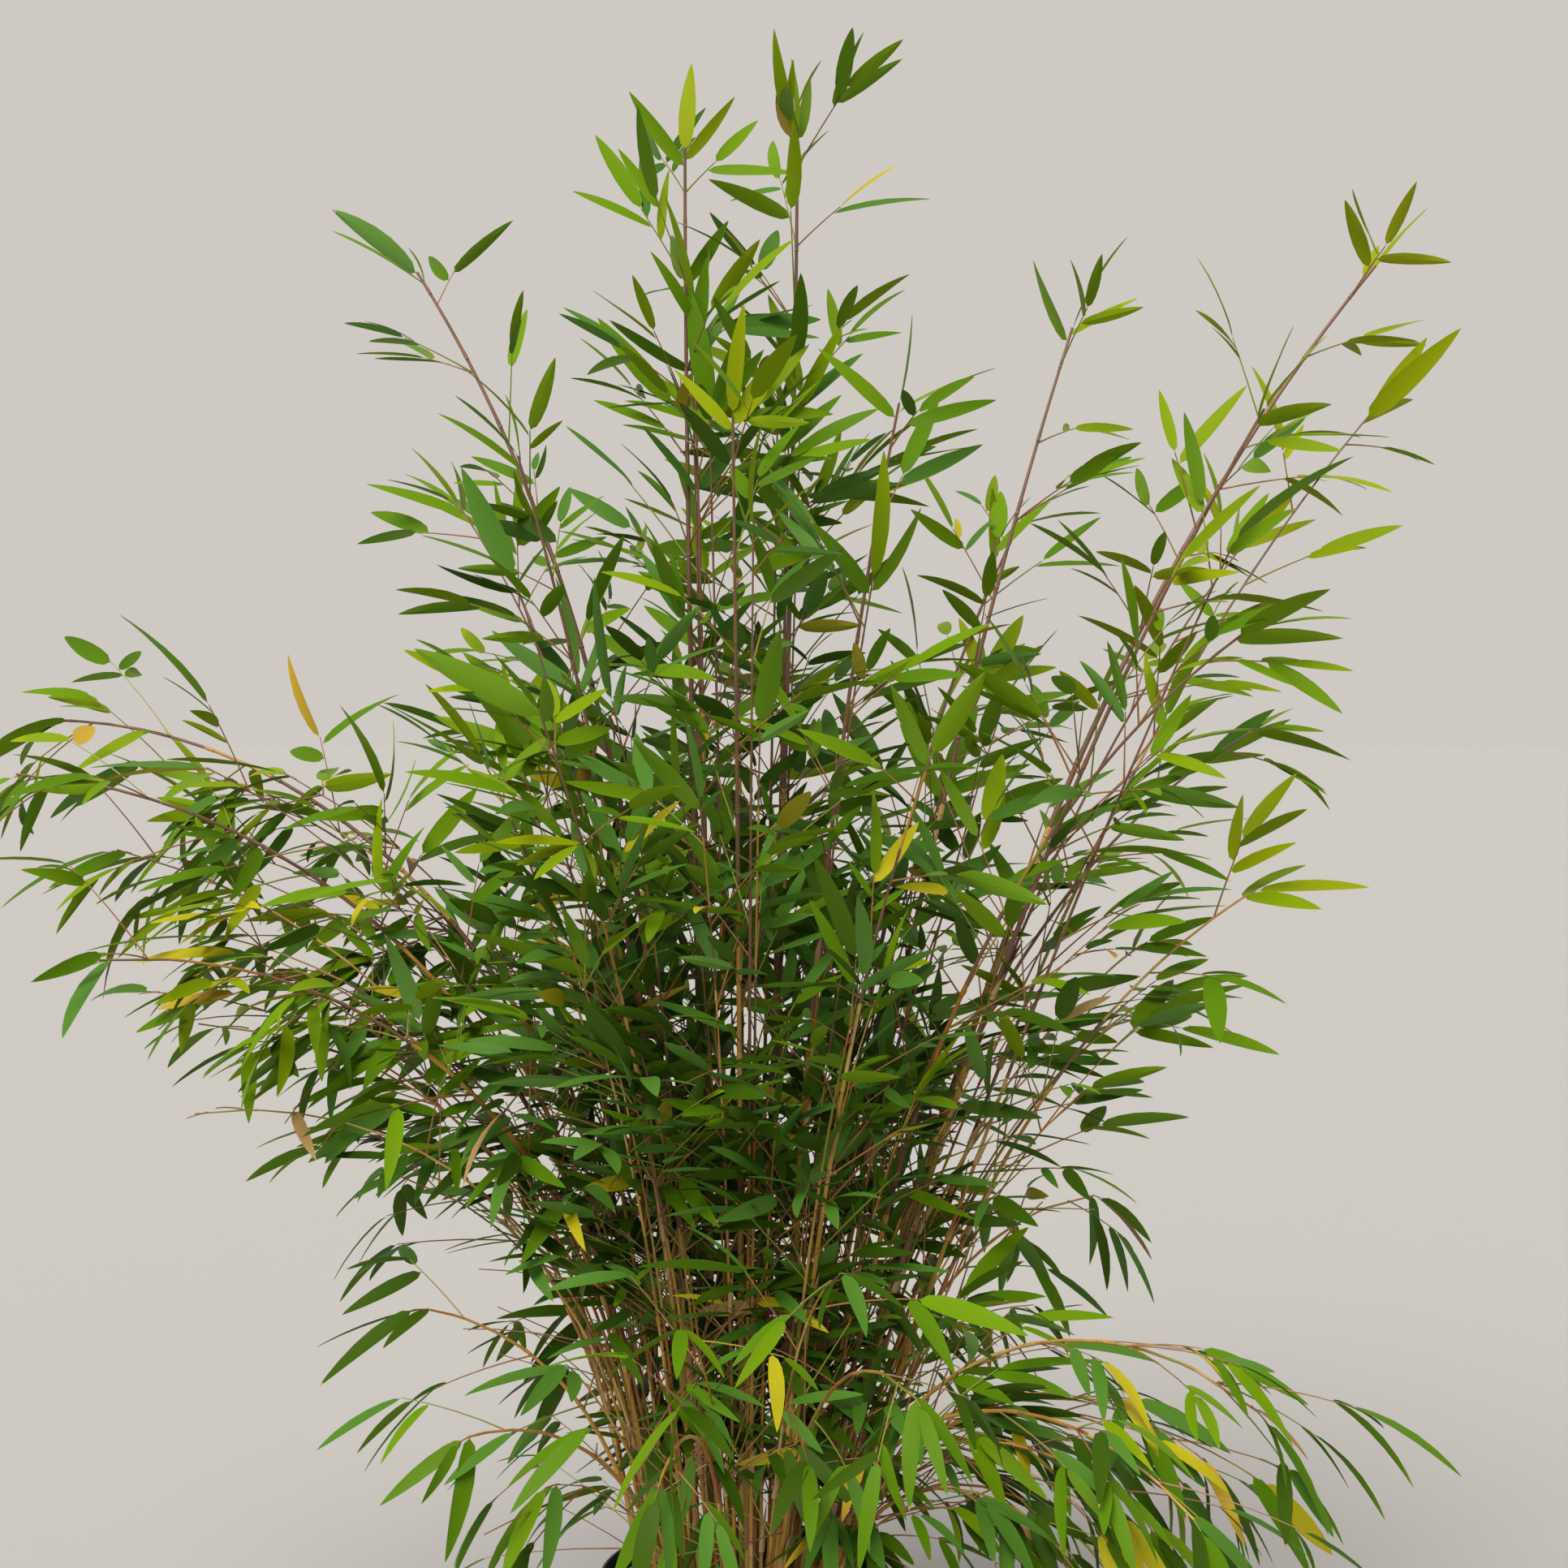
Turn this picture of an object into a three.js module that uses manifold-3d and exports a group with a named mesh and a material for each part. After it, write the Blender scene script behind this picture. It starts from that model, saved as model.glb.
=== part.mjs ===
// A clump of bamboo in a round black nursery pot. Millimetres, +Z up.
// The origin is on the ground, at the centre of the pot's flat underside. -Y is the front and +X the right.
// Every cane rises from the compost, arches over, and ends where it enters its own mass of foliage.
import * as THREE from "three";
import { mergeVertices } from "three/addons/utils/BufferGeometryUtils.js";
import Module from "manifold-3d";

const wasm = await Module();
wasm.setup();

// Driving dimensions.
const RIM_RADIUS = 150; // the pot's widest, outside its rim
const POT_HEIGHT = 270;
const BASE_RADIUS = 112;
const WALL = 2.6;
const FLOOR = 3.6;
const RIM_BAND = 24; // height of the thicker band under the rim
const RIM_STEP = 5; // how far that band stands out
const POT_SIDES = 36;
const DRAIN_HOLES = 8;
const DRAIN_WIDTH = 15;
const DRAIN_HEIGHT = 9;

const COMPOST_TOP = 240; // the flat ground that the canes rise from
const COMPOST_FLAT_RADIUS = 116;
const COMPOST_EDGE_DROP = 7;

const GAP = 0.3; // clearance between neighbouring solids
const CANE_SIDES = 5;
const INTERNODE = 165; // from one joint of a cane to the next
const JOINT_SWELL = 1.28;
const JOINT_HALF = 4; // half the height of a joint's swelling
const CANE_RADIUS_PER_LENGTH = 0.0031; // a cane's radius at its foot, as a share of its length
const LEAST_CANE_RADIUS = 3;
const TIP_SHARE = 0.34; // a cane's radius at its tip, as a share of its foot's
const CURVE_STEPS = 24;

const LEAF_LENGTH = 138;
const LEAF_SLENDER = 4.4; // length over width
const LEAF_THICK = 0.017; // thickest part, as a share of the length
const LEAF_BELLY = 0.42; // where a leaf is widest, as a share of its length
const LEAF_CAMBER = 0.05; // how far its middle stands above a straight line from root to tip
const STALK_RADIUS = 1; // where a leaf springs from its twig
const LEAVES_BESIDE = [0.8, 0.56]; // where the side leaves sit on a twig, as shares of its length
const PAIR_BELOW = 14; // how far below a stem's tip the second leaf of its end pair sits
const TWIG_SPACING = 116; // along a leafy stem
const TWIG_LENGTH = 150;
const TWIG_RADIUS = 2.3;
const LEAST_STEM_RADIUS = 2.6;
const TWIG_TURN = 137.5; // degrees round the stem from one twig to the next
const TRIES = 14; // how often a twig or leaf looks for a free place
const CLEAR_FROM = 0.3; // the share of a leaf's narrow half, and of a twig, that may touch what it grows from
const FUSING_TOLERANCES = [0.2, 0.18, 0.16, 0.14, 0.12, 0.1, 0.08, 0.06, 0.04]; // slivers that are thinner are dropped at the roots
const MOST_TRIALS = 20;
const LEAST_EDGE = 0.004; // no edge of a fused solid is shorter
const LEAST_BREADTH = 0.002; // and no face of it is narrower
const SPACE_MARGIN = 2.5; // a mass stays this much nearer to its own stem than to any other
const SPACE_REACH = 300; // and this near to its own stem
const LEAST_HEIGHT = 150; // nothing hangs lower than this
const POT_CLEARANCE = 14;

// Canes: turn is the direction in plan, in degrees from +X towards +Y. lean is the slope from upright at the
// foot and bow the slope at the tip, in degrees, reached late when bend is high. foot is the distance of the
// foot from the pot's axis, and bare the share of the length below the foliage.
const CANES = {
  spire_centre: { turn: 69, lean: 7, bow: 1, bend: 2, length: 1530, foot: 18, bare: 0.46 },
  spire_left: { turn: 151, lean: 2, bow: 0, bend: 2, length: 1480, foot: 34, bare: 0.46 },
  long_right: { turn: 13, lean: 16, bow: 41, bend: 2, length: 1530, foot: 60, bare: 0.5 },
  steep_right: { turn: -13, lean: 16, bow: 30, bend: 2, length: 1290, foot: 56, bare: 0.46 },
  right_spire: { turn: 26, lean: 12, bow: 20, bend: 2, length: 1365, foot: 42, bare: 0.42 },
  left_spire: { turn: 158, lean: 2, bow: 35, bend: 2, length: 1430, foot: 58, bare: 0.46 },
  left_inner: { turn: 196, lean: 5, bow: 17, bend: 2, length: 1180, foot: 44, bare: 0.3 },
  right_inner: { turn: -38, lean: 4, bow: 14, bend: 2, length: 1220, foot: 34, bare: 0.3 },
  front_spire: { turn: -92, lean: 5, bow: 13, bend: 2, length: 1200, foot: 40, bare: 0.26 },
  front_left: { turn: 238, lean: 9, bow: 30, bend: 2, length: 960, foot: 70, bare: 0.16 },
  front_right: { turn: -62, lean: 10, bow: 34, bend: 2, length: 930, foot: 72, bare: 0.16 },
  fan_upper: { turn: -22, lean: 8, bow: 54, bend: 2, length: 1110, foot: 78, bare: 0.36 },
  fan_middle: { turn: 4, lean: 9, bow: 61, bend: 2, length: 1035, foot: 84, bare: 0.34 },
  fan_lower: { turn: -10, lean: 15, bow: 56, bend: 2, length: 860, foot: 98, bare: 0.32 },
  fan_lowest: { turn: 20, lean: 16, bow: 60, bend: 2, length: 710, foot: 98, bare: 0.32 },
  sweep_upper: { turn: 167, lean: 3, bow: 90, bend: 1.5, length: 1260, foot: 76, bare: 0.42 },
  sweep_middle: { turn: 184, lean: 4, bow: 86, bend: 1.5, length: 1165, foot: 88, bare: 0.4 },
  sweep_lower: { turn: 203, lean: 2, bow: 92, bend: 1.5, length: 980, foot: 98, bare: 0.38 },
  left_low: { turn: 180, lean: 8, bow: 76, bend: 2, length: 610, foot: 104, bare: 0.3 },
  left_lowest: { turn: 209, lean: 8, bow: 74, bend: 1.5, length: 450, foot: 104, bare: 0.26 },
  droop_upper: { turn: -34, lean: 8, bow: 122, bend: 1.3, length: 655, foot: 100, bare: 0.3 },
  droop_lower: { turn: -47, lean: 8, bow: 124, bend: 1.1, length: 630, foot: 100, bare: 0.26 },
  back_right: { turn: 48, lean: 9, bow: 40, bend: 2, length: 1210, foot: 74, bare: 0.3 },
  back_middle: { turn: 92, lean: 7, bow: 42, bend: 2, length: 1180, foot: 72, bare: 0.26 },
  back_left: { turn: 128, lean: 9, bow: 44, bend: 2, length: 1220, foot: 76, bare: 0.3 },
  back_low: { turn: 72, lean: 16, bow: 88, bend: 1.6, length: 800, foot: 102, bare: 0.22 },
};
// Short side shoots that are leafy from near the ground. Their stem is inside their mass.
const SHOOTS = {
  front_shoot: { turn: -98, lean: 10, bow: 104, bend: 1.2, length: 520, foot: 96, bare: 0.12 },
  front_left_shoot: { turn: 232, lean: 12, bow: 88, bend: 1.2, length: 430, foot: 104, bare: 0.12 },
  front_right_shoot: { turn: -72, lean: 10, bow: 96, bend: 1.3, length: 580, foot: 98, bare: 0.14 },
  back_left_shoot: { turn: 142, lean: 14, bow: 92, bend: 1.3, length: 620, foot: 102, bare: 0.12 },
  back_shoot: { turn: 104, lean: 14, bow: 96, bend: 1.3, length: 560, foot: 102, bare: 0.12 },
  back_right_shoot: { turn: 38, lean: 14, bow: 94, bend: 1.3, length: 580, foot: 104, bare: 0.12 },
};

const COLOURS = {
  pot: { color: 0x17181a, roughness: 0.55, metalness: 0 },
  compost: { color: 0x3b2a1e, roughness: 0.95, metalness: 0 },
  cane: { color: 0x9a7648, roughness: 0.5, metalness: 0 },
  foliage: { color: 0x3f8426, roughness: 0.45, metalness: 0 },
};

const UP = new THREE.Vector3(0, 0, 1);
const radians = THREE.MathUtils.degToRad;

// Seeded random numbers from 0 to 1, the same on every run.
function seeded(seed) {
  let state = seed >>> 0;
  return () => {
    state = (state + 0x6d2b79f5) >>> 0;
    let mixed = Math.imul(state ^ (state >>> 15), state | 1);
    mixed ^= mixed + Math.imul(mixed ^ (mixed >>> 7), mixed | 61);
    return ((mixed ^ (mixed >>> 14)) >>> 0) / 4294967296;
  };
}

// The centre line of a cane, from its foot on the compost to its tip.
function caneCurve({ turn, lean, bow, bend, length, foot }) {
  const outward = new THREE.Vector3(Math.cos(radians(turn)), Math.sin(radians(turn)), 0);
  const points = [outward.clone().multiplyScalar(foot).setZ(COMPOST_TOP + GAP)];
  for (let step = 0; step < CURVE_STEPS; step += 1) {
    const share = (step + 0.5) / CURVE_STEPS;
    const slope = radians(lean + (bow - lean) * share ** bend);
    const stride = outward.clone().multiplyScalar(Math.sin(slope)).setZ(Math.cos(slope));
    points.push(points[step].clone().addScaledVector(stride, length / CURVE_STEPS));
  }
  return new THREE.CatmullRomCurve3(points);
}

const footRadius = ({ length }) => Math.max(LEAST_CANE_RADIUS, length * CANE_RADIUS_PER_LENGTH);
const radiusAt = (cane, share) => footRadius(cane) * (1 - (1 - TIP_SHARE) * share);
const stemRadius = (cane, share) => Math.max(LEAST_STEM_RADIUS, radiusAt(cane, 1 - (1 - share) * (1 - cane.bare)));

// A closed solid from a three.js geometry.
function solidOf(geometry) {
  const bare = geometry.index ? geometry.toNonIndexed() : geometry.clone();
  bare.deleteAttribute("normal");
  bare.deleteAttribute("uv");
  const merged = mergeVertices(bare, 1e-4);
  const mesh = new wasm.Mesh({
    numProp: 3,
    vertProperties: new Float32Array(merged.attributes.position.array),
    triVerts: new Uint32Array(merged.index.array),
  });
  return new wasm.Manifold(mesh);
}

// Whether each edge lies between just two faces once points that are closer than the least edge are one, and no
// face is a needle.
function isClean(solid) {
  const bare = geometryOf(solid).deleteAttribute("normal");
  const place = bare.attributes.position;
  const face = new THREE.Triangle();
  for (let i = 0; i < place.count; i += 3) {
    face.setFromAttributeAndIndices(place, i, i + 1, i + 2);
    const longest = Math.max(face.a.distanceTo(face.b), face.b.distanceTo(face.c), face.c.distanceTo(face.a));
    if ((2 * face.getArea()) / longest < LEAST_BREADTH) return false;
  }
  const corners = mergeVertices(bare, LEAST_EDGE).index.array;
  const uses = new Map();
  for (let i = 0; i < corners.length; i += 3) {
    for (let k = 0; k < 3; k += 1) {
      const ends = [corners[i + k], corners[i + ((k + 1) % 3)]];
      if (ends[0] === ends[1]) return false;
      const edge = ends.sort((a, b) => a - b).join();
      uses.set(edge, (uses.get(edge) ?? 0) + 1);
    }
  }
  return [...uses.values()].every((count) => count === 2);
}

// The geometry of a closed solid.
function geometryOf(solid) {
  const mesh = solid.getMesh();
  const geometry = new THREE.BufferGeometry();
  geometry.setAttribute("position", new THREE.BufferAttribute(new Float32Array(mesh.vertProperties), 3));
  geometry.setIndex(new THREE.BufferAttribute(new Uint32Array(mesh.triVerts), 1));
  const flat = geometry.toNonIndexed();
  flat.computeVertexNormals();
  return flat;
}

// A bar through a row of sections, from its foot to its tip. A section has a centre, a side and an above
// direction, and a half width and half depth. A pointed bar ends in the centre of its last section.
function loft(sections, sides, pointed) {
  const steps = sections.length - 1;
  const geometry = new THREE.CylinderGeometry(pointed ? 0 : 1, 1, 1, sides, steps);
  const place = geometry.attributes.position;
  for (let i = 0; i < place.count; i += 1) {
    const step = Math.round((place.getY(i) + 0.5) * steps);
    const { centre, side, above, width, depth } = sections[step];
    const unit = pointed && step < steps ? 1 - step / steps : 1;
    const point = centre.clone().addScaledVector(side, (-place.getX(i) / unit) * width);
    point.addScaledVector(above, (-place.getZ(i) / unit) * depth);
    place.setXYZ(i, point.x, point.y, point.z);
  }
  return geometry;
}

// A section across a direction, turned so that its above side looks the way of a given face.
function section(centre, along, face, width, depth = width) {
  const side = new THREE.Vector3().crossVectors(along, face).normalize();
  return { centre, side, above: new THREE.Vector3().crossVectors(side, along).normalize(), width, depth };
}

// Sections along a plant's curve: rings holds [share along the curve, radius], from its foot to its tip. The foot
// is level. Each section's side looks straight across the upright plane in which the curve lies.
function curveSections({ curve, turn }, rings) {
  const across = new THREE.Vector3(-Math.sin(radians(turn)), Math.cos(radians(turn)), 0);
  return rings.map(([share, radius]) => {
    const along = share === 0 ? UP : curve.getTangent(share);
    return section(curve.getPoint(share), along, new THREE.Vector3().crossVectors(across, along), radius);
  });
}

// The rings of a bare cane, with a swelling at each joint.
function caneRings(cane, extra) {
  const rings = [[0, radiusAt(cane, 0) + extra]];
  const half = JOINT_HALF / cane.length;
  for (let joint = INTERNODE / cane.length; joint < cane.bare - 4 * half; joint += INTERNODE / cane.length) {
    const radius = radiusAt(cane, joint);
    rings.push([joint - half, radius + extra]);
    rings.push([joint, radius * JOINT_SWELL + extra]);
    rings.push([joint + half, radius + extra]);
  }
  rings.push([cane.bare, radiusAt(cane, cane.bare) + extra]);
  return rings;
}

// The leafy stem that goes on from the cane's end, 0.3 mm clear of it, or from the ground where it has no cane.
function stemRings(cane) {
  const start = cane.hasCane ? cane.bare + GAP / cane.length : 0;
  const steps = Math.abs(cane.bow - cane.lean) > 40 ? 6 : 4;
  const rings = [];
  for (let step = 0; step <= steps; step += 1) {
    rings.push([start + ((1 - start) * step) / steps, stemRadius(cane, step / steps)]);
  }
  return rings;
}

// The widest section of a leaf and its tip. With three sides it is flat above and has a keel below.
function leafSections({ root, along, face, length }) {
  const across = section(root, along, face, 1);
  const belly = root.clone().addScaledVector(along, LEAF_BELLY * length);
  belly.addScaledVector(across.above, LEAF_CAMBER * length);
  const width = length / LEAF_SLENDER / 2 / Math.cos(Math.PI / 6);
  const tip = root.clone().addScaledVector(along, length);
  return [section(belly, along, face, width, (length * LEAF_THICK) / 1.5), section(tip, along, face, 0)];
}

// The part of a leaf that stands clear of its twig.
function bladeOf(leaf) {
  const [belly, tip] = leafSections(leaf);
  const foot = leaf.root.clone().lerp(belly.centre, CLEAR_FROM);
  return solidOf(loft([section(foot, leaf.along, leaf.face, belly.width * CLEAR_FROM, 1), belly, tip], 3, true));
}

// Whether a point is in the free air that a mass may fill: not under or in the pot.
function inFreeAir(point) {
  const outside = Math.hypot(point.x, point.y) > RIM_RADIUS + POT_CLEARANCE;
  return point.z > (outside ? LEAST_HEIGHT : POT_HEIGHT + POT_CLEARANCE);
}

function distanceToLine(point, line) {
  let least = Infinity;
  const nearest = new THREE.Vector3();
  for (const segment of line) {
    segment.closestPointToPoint(point, true, nearest);
    least = Math.min(least, nearest.distanceTo(point));
  }
  return least;
}

const plants = [
  ...Object.entries(CANES).map(([name, cane]) => ({ name, ...cane, hasCane: true })),
  ...Object.entries(SHOOTS).map(([name, cane]) => ({ name, ...cane, hasCane: false })),
];
plants.forEach((plant) => {
  plant.curve = caneCurve(plant);
  plant.sag = THREE.MathUtils.clamp((plant.bow - 40) / 60, 0, 1);
  plant.rings = stemRings(plant);
  // The leafy stem's centre line, as the straight stretches between its sections.
  plant.stem = new THREE.CurvePath();
  plant.rings.slice(1).forEach(([share], i) => {
    plant.stem.add(new THREE.LineCurve3(plant.curve.getPoint(plant.rings[i][0]), plant.curve.getPoint(share)));
  });
  plant.line = plant.stem.curves.map(({ v1, v2 }) => new THREE.Line3(v1, v2));
});

// A mass's own space: nearer to its own stem than to any other, and in free air.
function inOwnSpace(plant, point) {
  const own = distanceToLine(point, plant.line);
  if (own > SPACE_REACH || !inFreeAir(point)) return false;
  return plants.every((other) => other === plant || distanceToLine(point, other.line) > own + SPACE_MARGIN);
}

// All that stands in the way of a new twig or leaf: canes and stems, a little too thick, and what has grown.
const stemSections = (plant) => curveSections(plant, plant.rings);
const caneSolid = (plant, extra) => solidOf(loft(curveSections(plant, caneRings(plant, extra)), CANE_SIDES));
const taken = [];
const take = (solid) => taken.push({ solid, box: solid.boundingBox() });
plants.filter(({ hasCane }) => hasCane).forEach((plant) => take(caneSolid(plant, GAP)));
plants.forEach((plant) => take(solidOf(loft(stemSections(plant), 3))));

function isFree(solid) {
  const box = solid.boundingBox();
  const apart = (other) => [0, 1, 2].some((i) => box.min[i] > other.max[i] || other.min[i] > box.max[i]);
  return taken.every((other) => apart(other.box) || other.solid.intersect(solid).isEmpty());
}

// A direction that leaves a stem at a slope, turned round it.
function branching(tangent, slope, turn) {
  const level = Math.abs(tangent.z) > 0.95 ? new THREE.Vector3(1, 0, 0) : UP;
  const side = new THREE.Vector3().crossVectors(tangent, level).normalize();
  const across = new THREE.Vector3().crossVectors(side, tangent).normalize();
  const away = side.multiplyScalar(Math.cos(turn)).addScaledVector(across, Math.sin(turn));
  return tangent.clone().multiplyScalar(Math.cos(slope)).addScaledVector(away, Math.sin(slope)).normalize();
}

// A free place for a leaf that springs from a given point, found by trying some. Side is 0 for a leaf at a tip,
// and 1 or -1 for one beside it.
function findLeaf(plant, random, root, twigWay, side, scale) {
  for (let attempt = 0; attempt < TRIES; attempt += 1) {
    const length = LEAF_LENGTH * scale * (0.82 + 0.3 * random()) * (1 - attempt * 0.025);
    const slope = radians(side === 0 ? 6 + 16 * random() : 30 + 22 * random());
    const turn = (side < 0 ? Math.PI : 0) + (random() - 0.5) * (1.6 + 0.3 * attempt);
    const along = branching(twigWay, slope, turn);
    along.z -= plant.sag * (0.25 + 0.5 * random());
    along.normalize();
    const face = new THREE.Vector3(random() - 0.5, random() - 0.7, 0.55 + random()).normalize();
    const leaf = { root, along, face, length };
    const [belly, tip] = leafSections(leaf);
    const edges = [belly.width, -belly.width].map((out) => belly.centre.clone().addScaledVector(belly.side, out));
    const marks = [...edges, tip.centre, belly.centre.clone().lerp(tip.centre, 0.5)];
    if (marks.every((mark) => inOwnSpace(plant, mark)) && isFree(bladeOf(leaf))) return leaf;
  }
  return null;
}

// A leaf on a stalk of its own, whose foot is on the axis of the twig that it springs from.
function sideLeaf(plant, random, foot, twigWay, side) {
  const leaf = findLeaf(plant, random, foot, twigWay, side, 0.92);
  if (!leaf) return null;
  take(bladeOf(leaf));
  return solidOf(loft([section(foot, leaf.along, leaf.face, STALK_RADIUS), ...leafSections(leaf)], 3, true));
}

// A twig that goes on into a leaf, with a leaf on each side of it, where free places are found.
function growTwig(plant, random, share, turn, length) {
  const root = plant.stem.getPoint(share);
  const tangent = plant.stem.getTangent(share);
  for (let attempt = 0; attempt < TRIES; attempt += 1) {
    const slope = radians(34 + 26 * random());
    const way = branching(tangent, slope, turn + (random() - 0.5) * (1 + 0.4 * attempt));
    way.z += 0.12 - 0.3 * plant.sag;
    way.normalize();
    const reach = length * (1 - attempt * 0.04);
    const end = root.clone().addScaledVector(way, reach);
    if (!inOwnSpace(plant, end)) continue;
    const radius = Math.min(TWIG_RADIUS, stemRadius(plant, share) * 0.6);
    const twig = (from, face) => {
      const foot = root.clone().addScaledVector(way, reach * from);
      return [section(foot, way, face, radius), section(end, way, face, radius * 0.75)];
    };
    const bare = solidOf(loft(twig(CLEAR_FROM, UP), 3));
    const tipLeaf = isFree(bare) ? findLeaf(plant, random, end, way, 0, 1) : null;
    if (!tipLeaf) continue;
    take(bare);
    take(bladeOf(tipLeaf));
    const pieces = [solidOf(loft([...twig(0, tipLeaf.face), ...leafSections(tipLeaf)], 3, true))];
    LEAVES_BESIDE.forEach((place, i) => {
      const foot = root.clone().addScaledVector(way, reach * place);
      pieces.push(sideLeaf(plant, random, foot, way, 1 - 2 * i));
    });
    return pieces.filter(Boolean);
  }
  return [];
}

// What makes up the foliage of one cane: a stem that goes on into a leaf, and twigs with leaves.
function growFoliage(plant, random) {
  const tip = plant.stem.getPoint(1);
  const tangent = plant.stem.getTangent(1);
  const leaf = findLeaf(plant, random, tip, tangent, 0, 0.95);
  const pieces = [solidOf(loft([...stemSections(plant), ...(leaf ? leafSections(leaf) : [])], 3, Boolean(leaf)))];
  if (leaf) take(bladeOf(leaf));
  pieces.push(sideLeaf(plant, random, tip.clone().addScaledVector(tangent, -PAIR_BELOW), tangent, 1));
  const bare = plant.hasCane ? 0 : plant.bare;
  const twigs = Math.round((plant.stem.getLength() * (1 - bare)) / TWIG_SPACING);
  for (let i = 0; i < twigs; i += 1) {
    const toTip = 1 - (i + 0.5) / twigs;
    const length = TWIG_LENGTH * (0.3 + 0.7 * toTip) * (0.8 + 0.4 * random());
    pieces.push(...growTwig(plant, random, 1 - (1 - bare) * toTip, radians(TWIG_TURN * i), length));
  }
  return pieces.filter(Boolean);
}

// A mass of foliage fused into one solid. Where its pieces don't fuse cleanly, it is grown again from another seed.
function foliage(plant, seed) {
  const before = taken.length;
  const largest = (parts) => parts.reduce((most, part) => (part.volume() > most.volume() ? part : most));
  for (let trial = 0; trial < MOST_TRIALS; trial += 1) {
    taken.length = before;
    const fused = wasm.Manifold.union(growFoliage(plant, seeded(seed + 100 * trial))).asOriginal();
    for (const tolerance of FUSING_TOLERANCES) {
      const whole = largest(fused.simplify(tolerance).decompose());
      if (isClean(whole)) return whole;
    }
  }
  throw new Error(`the foliage ${plant.name} doesn't fuse`);
}

// The radius of the pot's wall at a height, outside and inside, below the band under its rim.
const outsideAt = (z) => BASE_RADIUS + ((RIM_RADIUS - RIM_STEP - BASE_RADIUS) / (POT_HEIGHT - RIM_BAND)) * z;
const insideAt = (z) => outsideAt(z) - WALL;

// A closed solid turned about the Z axis from its profile of [radius, height].
function turned(profile) {
  const geometry = new THREE.LatheGeometry(profile.map(([r, z]) => new THREE.Vector2(r, z)), POT_SIDES);
  return solidOf(geometry.rotateX(Math.PI / 2));
}

// The pot: one moulded shell with a thicker band under its rim and drain holes at the foot of its wall.
function potSolid() {
  const band = POT_HEIGHT - RIM_BAND;
  let solid = turned([
    [0, 0],
    [BASE_RADIUS - 3, 0],
    [outsideAt(3), 3],
    [outsideAt(band - 4), band - 4],
    [RIM_RADIUS - 1.5, band],
    [RIM_RADIUS, POT_HEIGHT - 3],
    [RIM_RADIUS - 1.5, POT_HEIGHT],
    [RIM_RADIUS - WALL - 1.5, POT_HEIGHT],
    [RIM_RADIUS - WALL - 2.5, band + 4],
    [insideAt(band - 4), band - 4],
    [insideAt(FLOOR), FLOOR],
    [0, FLOOR],
  ]);
  for (let i = 0; i < DRAIN_HOLES; i += 1) {
    const hole = new THREE.BoxGeometry(30, DRAIN_WIDTH, DRAIN_HEIGHT);
    hole.translate(BASE_RADIUS, 0, FLOOR + 1 + DRAIN_HEIGHT / 2);
    hole.rotateZ(radians((360 * (i + 0.5)) / DRAIN_HOLES));
    solid = solid.subtract(solidOf(hole));
  }
  return solid;
}

// The compost that fills the pot: flat where the canes rise, and lower along the wall.
function compostSolid() {
  const foot = FLOOR + GAP;
  const edge = COMPOST_TOP - COMPOST_EDGE_DROP;
  return turned([
    [0, foot],
    [insideAt(foot) - GAP, foot],
    [insideAt(edge) - GAP, edge],
    [COMPOST_FLAT_RADIUS, COMPOST_TOP],
    [0, COMPOST_TOP],
  ]);
}

function add(group, name, solid, look) {
  const mesh = new THREE.Mesh(geometryOf(solid), new THREE.MeshStandardMaterial(look));
  mesh.name = name;
  group.add(mesh);
}

const bamboo = new THREE.Group();
bamboo.name = "potted_bamboo";
add(bamboo, "pot", potSolid(), COLOURS.pot);
add(bamboo, "compost", compostSolid(), COLOURS.compost);
plants.forEach((plant, index) => {
  if (plant.hasCane) {
    add(bamboo, `cane_${plant.name}`, caneSolid(plant, 0), COLOURS.cane);
  }
  add(bamboo, `foliage_${plant.name}`, foliage(plant, 1000 + index), COLOURS.foliage);
});

export default bamboo;
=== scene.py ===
# %% [markdown]
# # A potted bamboo
# The frame holds the plain solids of the plant: a pot, its compost, bare canes and masses of foliage.
# This lesson dresses them. Each solid is replaced by finer pieces that stand in the same place:
# a smooth moulded pot, rough compost with litter on it, jointed canes, and thin leaves on twigs.
# Nothing in the frame is moved. All sizes are in metres, with +Z up and the front towards -Y.

# %% Load the frame
import math
import random
from collections import namedtuple

import bpy
import numpy as np
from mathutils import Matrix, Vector
from mathutils.bvhtree import BVHTree


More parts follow.
